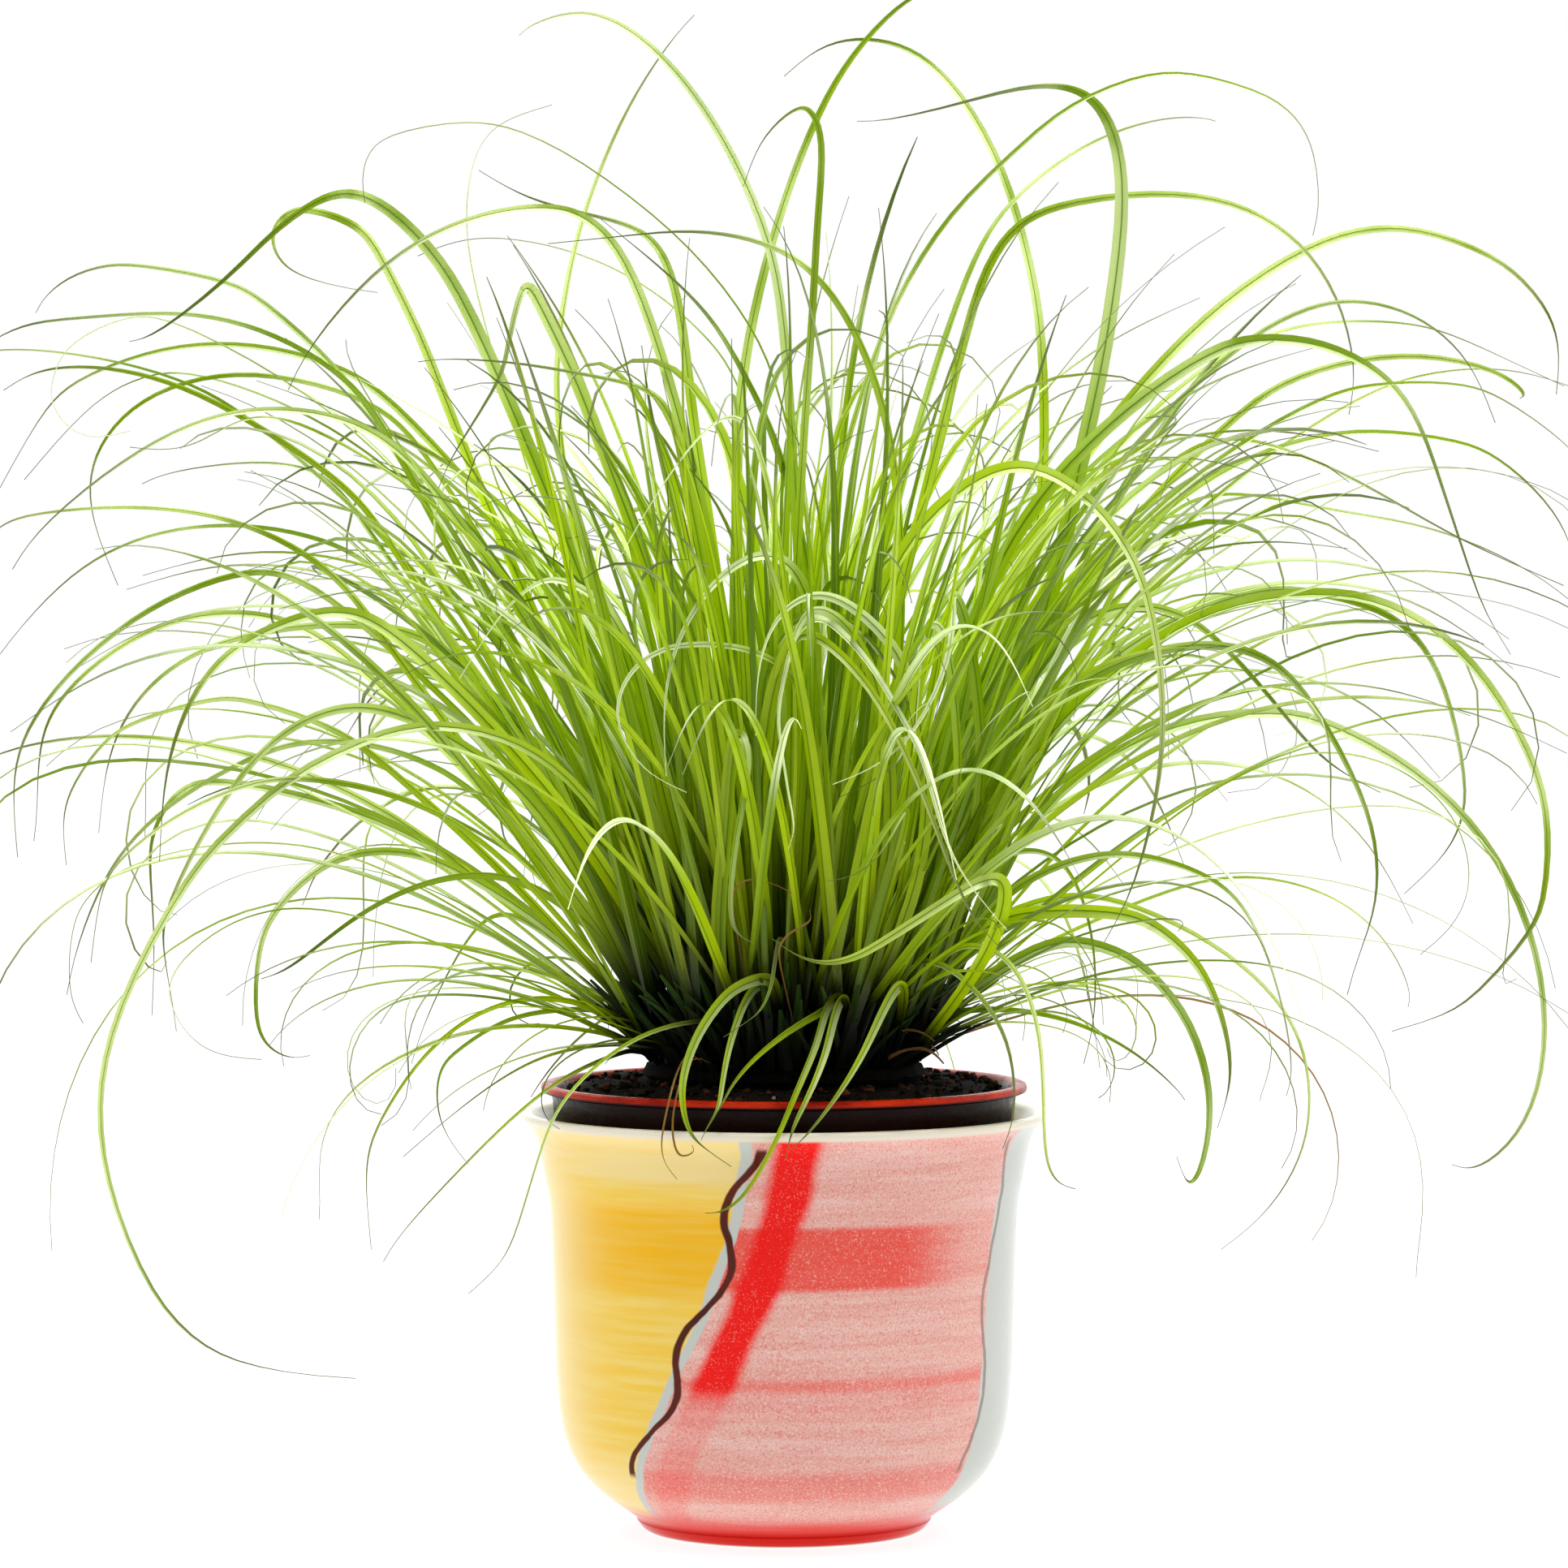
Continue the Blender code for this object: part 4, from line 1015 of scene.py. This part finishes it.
class Look(Nodes):
    """One material: its main shader, and the patterns that colour it."""

    def __init__(self, name, roughness, specular):
        self.material = bpy.data.materials.new(name)
        super().__init__(self.material)
        self.shader = self.nodes["Principled BSDF"]
        self.set_shader(Roughness=roughness, Specular_IOR_Level=specular)

    def set_shader(self, **values):
        self.fill(self.shader, **values)

    def place(self, x=1, y=1, z=1):
        """The point on the object, stretched by these factors."""
        here = self.made("TexCoord").outputs["Object"]
        return self.made("VectorMath", here, (x, y, z), operation="MULTIPLY").outputs[0]

    def height(self):
        """Millimetres above the ground."""
        return self.parts(self.place(1000, 1000, 1000))[2]

    def from_axis(self):
        """Millimetres from the pot's axis."""
        x, y, _ = self.parts(self.place(1000, 1000, 1000))
        return self.math("SQRT", self.scaled(x, x, self.times(y, y)))

    def facing_up(self):
        """One where the surface faces straight up, and zero where it is upright."""
        return self.parts(self.made("NewGeometry").outputs["Normal"])[2]

    def uv(self, title):
        return self.parts(self.made("UVMap", uv_map=title).outputs[0])[:2]

    def joined(self, x, y):
        return self.made("CombineXYZ", x, y).outputs[0]

    def noise(self, place, scale, detail=3.0, rough=0.55):
        node = self.fill(self.made("TexNoise"), Vector=place, Scale=scale, Detail=detail,
                         Roughness=rough)
        return node.outputs["Fac"]

    def bump(self, value, depth_mm, strength=1.0):
        node = self.fill(self.made("Bump"), Strength=strength, Distance=depth_mm * MM, Height=value)
        self.set_shader(Normal=node.outputs[0])
        return node.outputs[0]

    def let_light_through(self, share, color, normal):
        """Part of the light that falls on one side comes out at the other."""
        passing = self.made("BsdfTranslucent", color, normal)
        both = self.made("MixShader", share, self.shader.outputs[0], passing.outputs[0])
        self.fill(self.nodes["Material Output"], Surface=both.outputs[0])


def leaf_look(name, painted_shade_to):
    """Grass: lime to mid green by the blade, with fine veins, grey-green in its thin end. A painted sheen
    makes it pale on top where it arches over, on the hanging part of the front arches and in patches on
    the outer blades, grey-green between them; painted shade darkens it within the tuft and nearly to
    black where it rises from the crown. A few have brown ends and a few are dry all along."""
    look = Look(name, 0.35, 0.3)
    across, along = look.uv("UVMap")
    tone, fate = look.uv("Blade")
    height, radius = look.height(), look.from_axis()
    veins = look.noise(look.joined(look.scaled(across, 9.0, look.times(tone, 91.0)),
                                   look.scaled(along, 1.6, look.times(fate, 57.0))), 1.0, 2.0)
    patches = look.noise(look.joined(look.times(tone, 63.0), look.times(along, 4.0)), 1.0)
    bright = look.mix(look.ramp(tone, 0.05, 0.55), rgb(120, 156, 0), rgb(182, 210, 0))
    # Outer blades: a painted sheen in pale patches, grey-green between them.
    painted_sheen_patches = look.mix(look.ramp(patches, 0.4, 0.58), rgb(134, 164, 42), rgb(240, 246, 212))
    outer = look.most(look.ramp(radius, 70.0, 130.0, 0.0, 0.6),
                      look.ramp(height, 240.0, 310.0, 0.0, 0.6))
    # Painted sheen: pale on the hanging part of low-fate blades and where the surface faces up.
    hanging = look.times(look.ramp(along, 0.38, 0.56), look.ramp(fate, 0.07, 0.04))
    pale = look.most(look.ramp(look.facing_up(), 0.15, 0.7, 0.0, 0.6), hanging)
    thin = look.times(look.ramp(along, 0.74, 0.96, 0.0, 0.75), look.ramp(fate, 0.04, 0.07))
    # Painted shade: dark green within the tuft, darker lower down and nearer the axis.
    within = look.times(look.ramp(height, 140.0, painted_shade_to, 0.9, 0.0),
                        look.ramp(radius, 26.0, 58.0, 1.0, 0.0))
    # Painted shade: nearly black low down near the crown.
    deep = look.times(look.ramp(height, 130.0, 154.0, 1.0, 0.0),
                      look.ramp(radius, 37.0, 50.0, 1.0, 0.0))
    ends = look.times(look.ramp(fate, 0.86, 0.93),
                      look.ramp(look.math("ADD", along, look.times(patches, 0.12)), 0.92, 1.04))
    dry = look.math("GREATER_THAN", fate, 0.985)
    color = look.layered(
        bright,
        (look.ramp(tone, 0.5, 1.0), rgb(214, 234, 4)),
        (look.ramp(veins, 0.45, 0.62, 0.0, 0.4), rgb(222, 238, 60)),
        (look.ramp(patches, 0.45, 0.75, 0.0, 0.3), rgb(136, 176, 0)),
        (outer, painted_sheen_patches),
        (look.times(pale, look.ramp(veins, 0.36, 0.56, 0.6, 1.0)), rgb(246, 252, 218)),
        (look.band(across, 0.5, 0.02, 0.06), rgb(122, 162, 0)),
        (thin, rgb(96, 112, 58)),
        (within, rgb(36, 72, 2)),
        (deep, rgb(5, 10, 1)),
        (ends, rgb(138, 96, 48)),
        (look.times(dry, 0.9), rgb(176, 128, 66)))
    look.set_shader(Base_Color=color, Coat_Weight=0.08, Coat_Roughness=0.25)
    look.let_light_through(0.42, color, look.bump(veins, 0.03, 0.3))
    return look.material


def mound_look():
    """Dark, matted roots and old sheaths."""
    look = Look("root_mat", 0.95, 0.08)
    fibres = look.noise(look.place(900, 900, 260), 1.0, 5.0, 0.7)
    look.set_shader(Base_Color=look.mix(look.ramp(fibres, 0.4, 0.68), rgb(2, 2, 1), rgb(16, 13, 6)))
    look.bump(fibres, 0.5)
    return look.material


def sheath_look():
    """Old sheath bases: deep green, with painted shade nearly black at the foot, and straw where dead."""
    look = Look("old_sheaths", 0.6, 0.2)
    across, along = look.uv("UVMap")
    tone, fate = look.uv("Blade")
    veins = look.noise(look.joined(look.times(across, 12.0),
                                   look.scaled(along, 2.0, look.times(tone, 40.0))), 1.0, 2.0)
    green = look.layered(rgb(20, 34, 6), (tone, rgb(48, 84, 10)),
                         (look.ramp(veins, 0.4, 0.7, 0.0, 0.6), rgb(70, 112, 18)))
    # Painted shade: nearly black low down, near the peat.
    green = look.mix(look.ramp(look.height(), 118, 142), rgb(5, 7, 2), green)
    straw = look.mix(veins, rgb(92, 52, 24), rgb(196, 152, 92))
    look.set_shader(Base_Color=look.mix(look.math("GREATER_THAN", fate, 0.9), green, straw))
    look.bump(veins, 0.15)
    return look.material


def peat_look():
    """Damp peat: nearly black, with brown bark, pale fibres and a few perlite grains."""
    look = Look("damp_peat", 0.9, 0.12)
    tone, fate = look.uv("Blade")
    grain = look.noise(look.place(), 900.0, 5.0, 0.7)
    color = look.layered(
        rgb(7, 5, 4),
        (look.ramp(grain, 0.4, 0.75), rgb(42, 26, 18)),
        (look.ramp(tone, 0.3, 0.9), rgb(92, 50, 28)),
        (look.math("GREATER_THAN", fate, 0.98), rgb(176, 160, 138)))
    look.set_shader(Base_Color=color)
    look.bump(grain, 0.6)
    return look.material


def plastic_look():
    """Moulded red plastic with painted light and shade: bright red on top of its flange where light
    falls, painted nearly black down the wall as the shade in the gap, with handling marks and a little
    dust."""
    look = Look("red_plastic", 0.3, 0.09)
    cloud = look.noise(look.place(60, 60, 260), 1.0, 4.0)
    dust = look.noise(look.place(300, 300, 300), 1.0, 5.0, 0.7)
    # Painted light on the flange's top, bright red; below it the wall is painted nearly black as shade.
    flange = look.mix(look.ramp(cloud, 0.35, 0.7), rgb(212, 48, 16), rgb(136, 20, 8))
    color = look.layered(
        rgb(8, 2, 1),
        (cloud, rgb(40, 6, 4)),
        (look.ramp(look.height(), NURSERY_TOP - 1.7, NURSERY_TOP - 1.1), flange),
        (look.ramp(dust, 0.62, 0.8, 0.0, 0.2), rgb(150, 100, 80)))
    look.set_shader(Base_Color=color, Roughness=look.ramp(dust, 0.3, 0.8, 0.2, 0.46))
    look.bump(look.noise(look.place(140, 140, 700), 1.0, 3.0), 0.12, 0.7)
    return look.material


def wave(look, rise, waves, swing, shift):
    """How far a hand-drawn line swings to the side at this height."""
    return look.times(look.math("SINE", look.scaled(rise, math.tau * waves, shift)), swing)


def yellow_field(look, rise, field, past_seam, brushed):
    """Yellow glaze with one band of gold, brushed thin near the lip, the foot and its far side."""
    gold_band = look.times(look.times(look.band(rise, 0.74, 0.08, 0.05),
                                      look.ramp(past_seam, -60.0, -14.0, 0.45, 1.0)),
                           look.ramp(brushed, 0.3, 0.7, 1.0, 0.7))
    bare = look.times(look.math("ADD", look.ramp(rise, 0.88, 0.93), look.ramp(rise, 0.3, 0.12)),
                      look.ramp(brushed, 0.3, 0.6, 0.55, 1.0))
    bare = look.most(bare, look.ramp(look.scaled(brushed, 16.0, field), 16.0, 52.0, 0.8, 0.0))
    return look.layered(
        rgb(254, 210, 78),
        (look.ramp(brushed, 0.35, 0.68), rgb(254, 222, 118)),
        (gold_band, rgb(255, 192, 16)),
        (look.math("MINIMUM", bare, 0.85), rgb(252, 228, 158)))


def pink_field(look, rise, past_seam, past_edge, brushed):
    """Speckled pink glaze with two washes, a red band across, a thin red line and a red stripe."""
    grain = look.noise(look.place(), 1900.0, 2.0, 0.7)
    speckle = look.ramp(grain, 0.52, 0.7)
    washes = look.math("ADD", look.times(look.band(rise, 0.39, 0.02, 0.06), 0.3),
                       look.times(look.band(rise, 0.17, 0.02, 0.035), 0.7))
    red_band = look.times(look.band(rise, 0.725, 0.065, 0.02),
                          look.ramp(past_edge, -34.0, -8.0, 0.85, 0.15))
    red_line = look.times(look.band(rise, 0.42, 0.003, 0.022), 0.4)
    stripe = look.times(look.band(past_seam, 11.0, 3.4, 3.6),
                        look.ramp(rise, 0.36, 0.42, 0.25, 1.0))
    return look.layered(
        rgb(244, 196, 186),
        (look.ramp(brushed, 0.3, 0.7), rgb(238, 170, 158)),
        (washes, rgb(238, 124, 114)),
        (look.ramp(grain, 0.46, 0.34, 0.0, 0.55), rgb(232, 96, 86)),
        (look.times(speckle, 0.6), rgb(254, 228, 216)),
        (look.times(look.most(red_band, red_line), look.ramp(speckle, 0.0, 1.0, 1.0, 0.55)),
         rgb(246, 58, 40)),
        (look.times(stripe, look.ramp(speckle, 0.0, 1.0, 1.0, 0.78)), rgb(252, 14, 4)))


def glaze_look():
    """Hand-painted glaze, the same on two halves of the pot: a yellow field and a pink one that
    meet in a sweeping seam with a wavy brown line, a pale strip beyond, brushed bands across, red
    beside the seam and pooled at the foot, and a cream lip."""
    look = Look("painted_glaze", 0.18, 0.1)
    turn, rise = look.uv("UVMap")
    brushed = look.noise(look.place(26, 26, 420), 1.0, 4.0, 0.6)
    cloud = look.noise(look.place(70, 70, 70), 1.0, 3.0)

    # Degrees round each half of the pot, and past its seam and past the edge of its pale strip.
    wander = look.times(look.math("SUBTRACT", cloud, 0.5), 3.0)
    degrees = look.math("ADD", look.scaled(turn, 360.0, -92.0), wander)
    field = look.math("FLOORED_MODULO", degrees, 180.0)
    drop = look.math("SUBTRACT", 1.0, look.math("MINIMUM", rise, 1.0))
    past_seam = look.math("SUBTRACT", field,
                          look.scaled(look.math("POWER", drop, 1.5), -46.0, 80.0))
    past_edge = look.math("SUBTRACT", field, look.scaled(drop, -10.0, 152.0))

    white, brown = rgb(206, 210, 203), look.mix(cloud, rgb(54, 14, 8), rgb(112, 40, 22))
    within = look.times(look.ramp(rise, 0.17, 0.19), look.ramp(rise, 1.0, 0.985))
    wavy = look.math("SUBTRACT", past_seam, wave(look, rise, 3.2, 3.2, 0.4))
    wavy_line = look.times(look.band(wavy, 0.0, 0.75, 0.55), within)
    slight = look.math("SUBTRACT", past_edge, wave(look, rise, 2.4, 2.0, 2.0))
    slight_line = look.times(look.band(slight, 0.0, 0.45, 0.5), within)
    pooled = look.ramp(look.math("ADD", rise, look.times(brushed, 0.05)), 0.125, 0.07)
    color = look.layered(
        yellow_field(look, rise, field, past_seam, brushed),
        (look.ramp(past_seam, -0.6, 0.6), pink_field(look, rise, past_seam, past_edge, brushed)),
        (look.ramp(past_edge, -0.6, 0.6), white),
        (look.band(past_seam, 0.0, 1.0, 0.8), white),
        (wavy_line, brown),
        (look.times(slight_line, 0.8), rgb(148, 122, 118)),
        (look.times(pooled, 0.95), rgb(236, 36, 20)),
        (look.ramp(rise, 0.05, 0.03), rgb(222, 26, 14)),
        (look.ramp(rise, 1.008, 1.018), rgb(236, 228, 208)),
        (look.ramp(rise, 0.006, 0.003), rgb(206, 188, 160)))
    look.set_shader(Base_Color=color, Coat_Weight=0.08, Coat_Roughness=0.05)
    look.bump(look.scaled(wavy_line, 1.2, look.times(brushed, 0.5)), 0.25, 0.6)
    return look.material


def camera():
    data = bpy.data.cameras.new("camera")
    data.lens = LENS_MM
    data.sensor_width = SENSOR_MM
    data.clip_start = NEAREST_SEEN
    eye = in_scene("camera", data)
    eye.location = (0, -EYE_DISTANCE * MM, EYE_HEIGHT * MM)
    eye.rotation_euler = (math.radians(90 - EYE_DOWN_DEG), 0, 0)
    bpy.context.scene.camera = eye


def lamp(name, place, size, power):
    data = bpy.data.lights.new(name, "AREA")
    data.size = size
    data.energy = power
    light = in_scene(name, data)
    light.location = place
    light.rotation_euler = (LAMP_AIM - Vector(place)).to_track_quat("-Z", "Y").to_euler()


def surroundings():
    """White all round, but dim on the camera's side, so that the tuft's depths stay dark."""
    scene = bpy.context.scene
    scene.view_settings.view_transform = "Standard"
    scene.world = bpy.data.worlds.new("white_studio")
    sky = Nodes(scene.world)
    depth = sky.parts(sky.made("TexCoord").outputs["Generated"])[1]
    power = sky.ramp(depth, *LIGHT_CHANGES, FRONT_LIGHT, BACK_LIGHT)
    lit = sky.fill(sky.nodes["Background"], Color=WHITE, Strength=power)
    seen = sky.made("Background", WHITE)
    from_camera = sky.made("LightPath").outputs["Is Camera Ray"]
    both = sky.made("MixShader", from_camera, lit.outputs[0], seen.outputs[0])
    sky.fill(sky.nodes["World Output"], Surface=both.outputs[0])


def floor():
    """A plain floor that glows evenly, so that it stays pale to the horizon."""
    look = Look("pale_floor", 0.9, 0.2)
    look.set_shader(Base_Color=FLOOR_GREY, Emission_Color=WHITE, Emission_Strength=FLOOR_GLOW)
    corners = np.array([(-1, -1, 0), (1, -1, 0), (1, 1, 0), (-1, 1, 0)]) * FLOOR_REACH
    ground = mesh_object("floor", corners, [(0, 1, 2, 3)], {}, look.material)
    ground.location.z = -FLOOR_DROP * MM


camera()
surroundings()
floor()
for row in LAMPS:
    lamp(*row)

random = np.random.default_rng(PLANT_SEED)
glazed_pot(glaze_look())
plastic_pot(plastic_look())
peat(peat_look(), random)
crown_base(mound_look(), sheath_look(), random)
free_sites = list(sunflower(SITE_COUNT, SITE_RADIUS))
long_leaves(free_sites, random, leaf_look("long_leaf_green", LONG_PAINTED_SHADE_TO))
tufts(free_sites, random, leaf_look("tuft_green", TUFT_PAINTED_SHADE_TO))
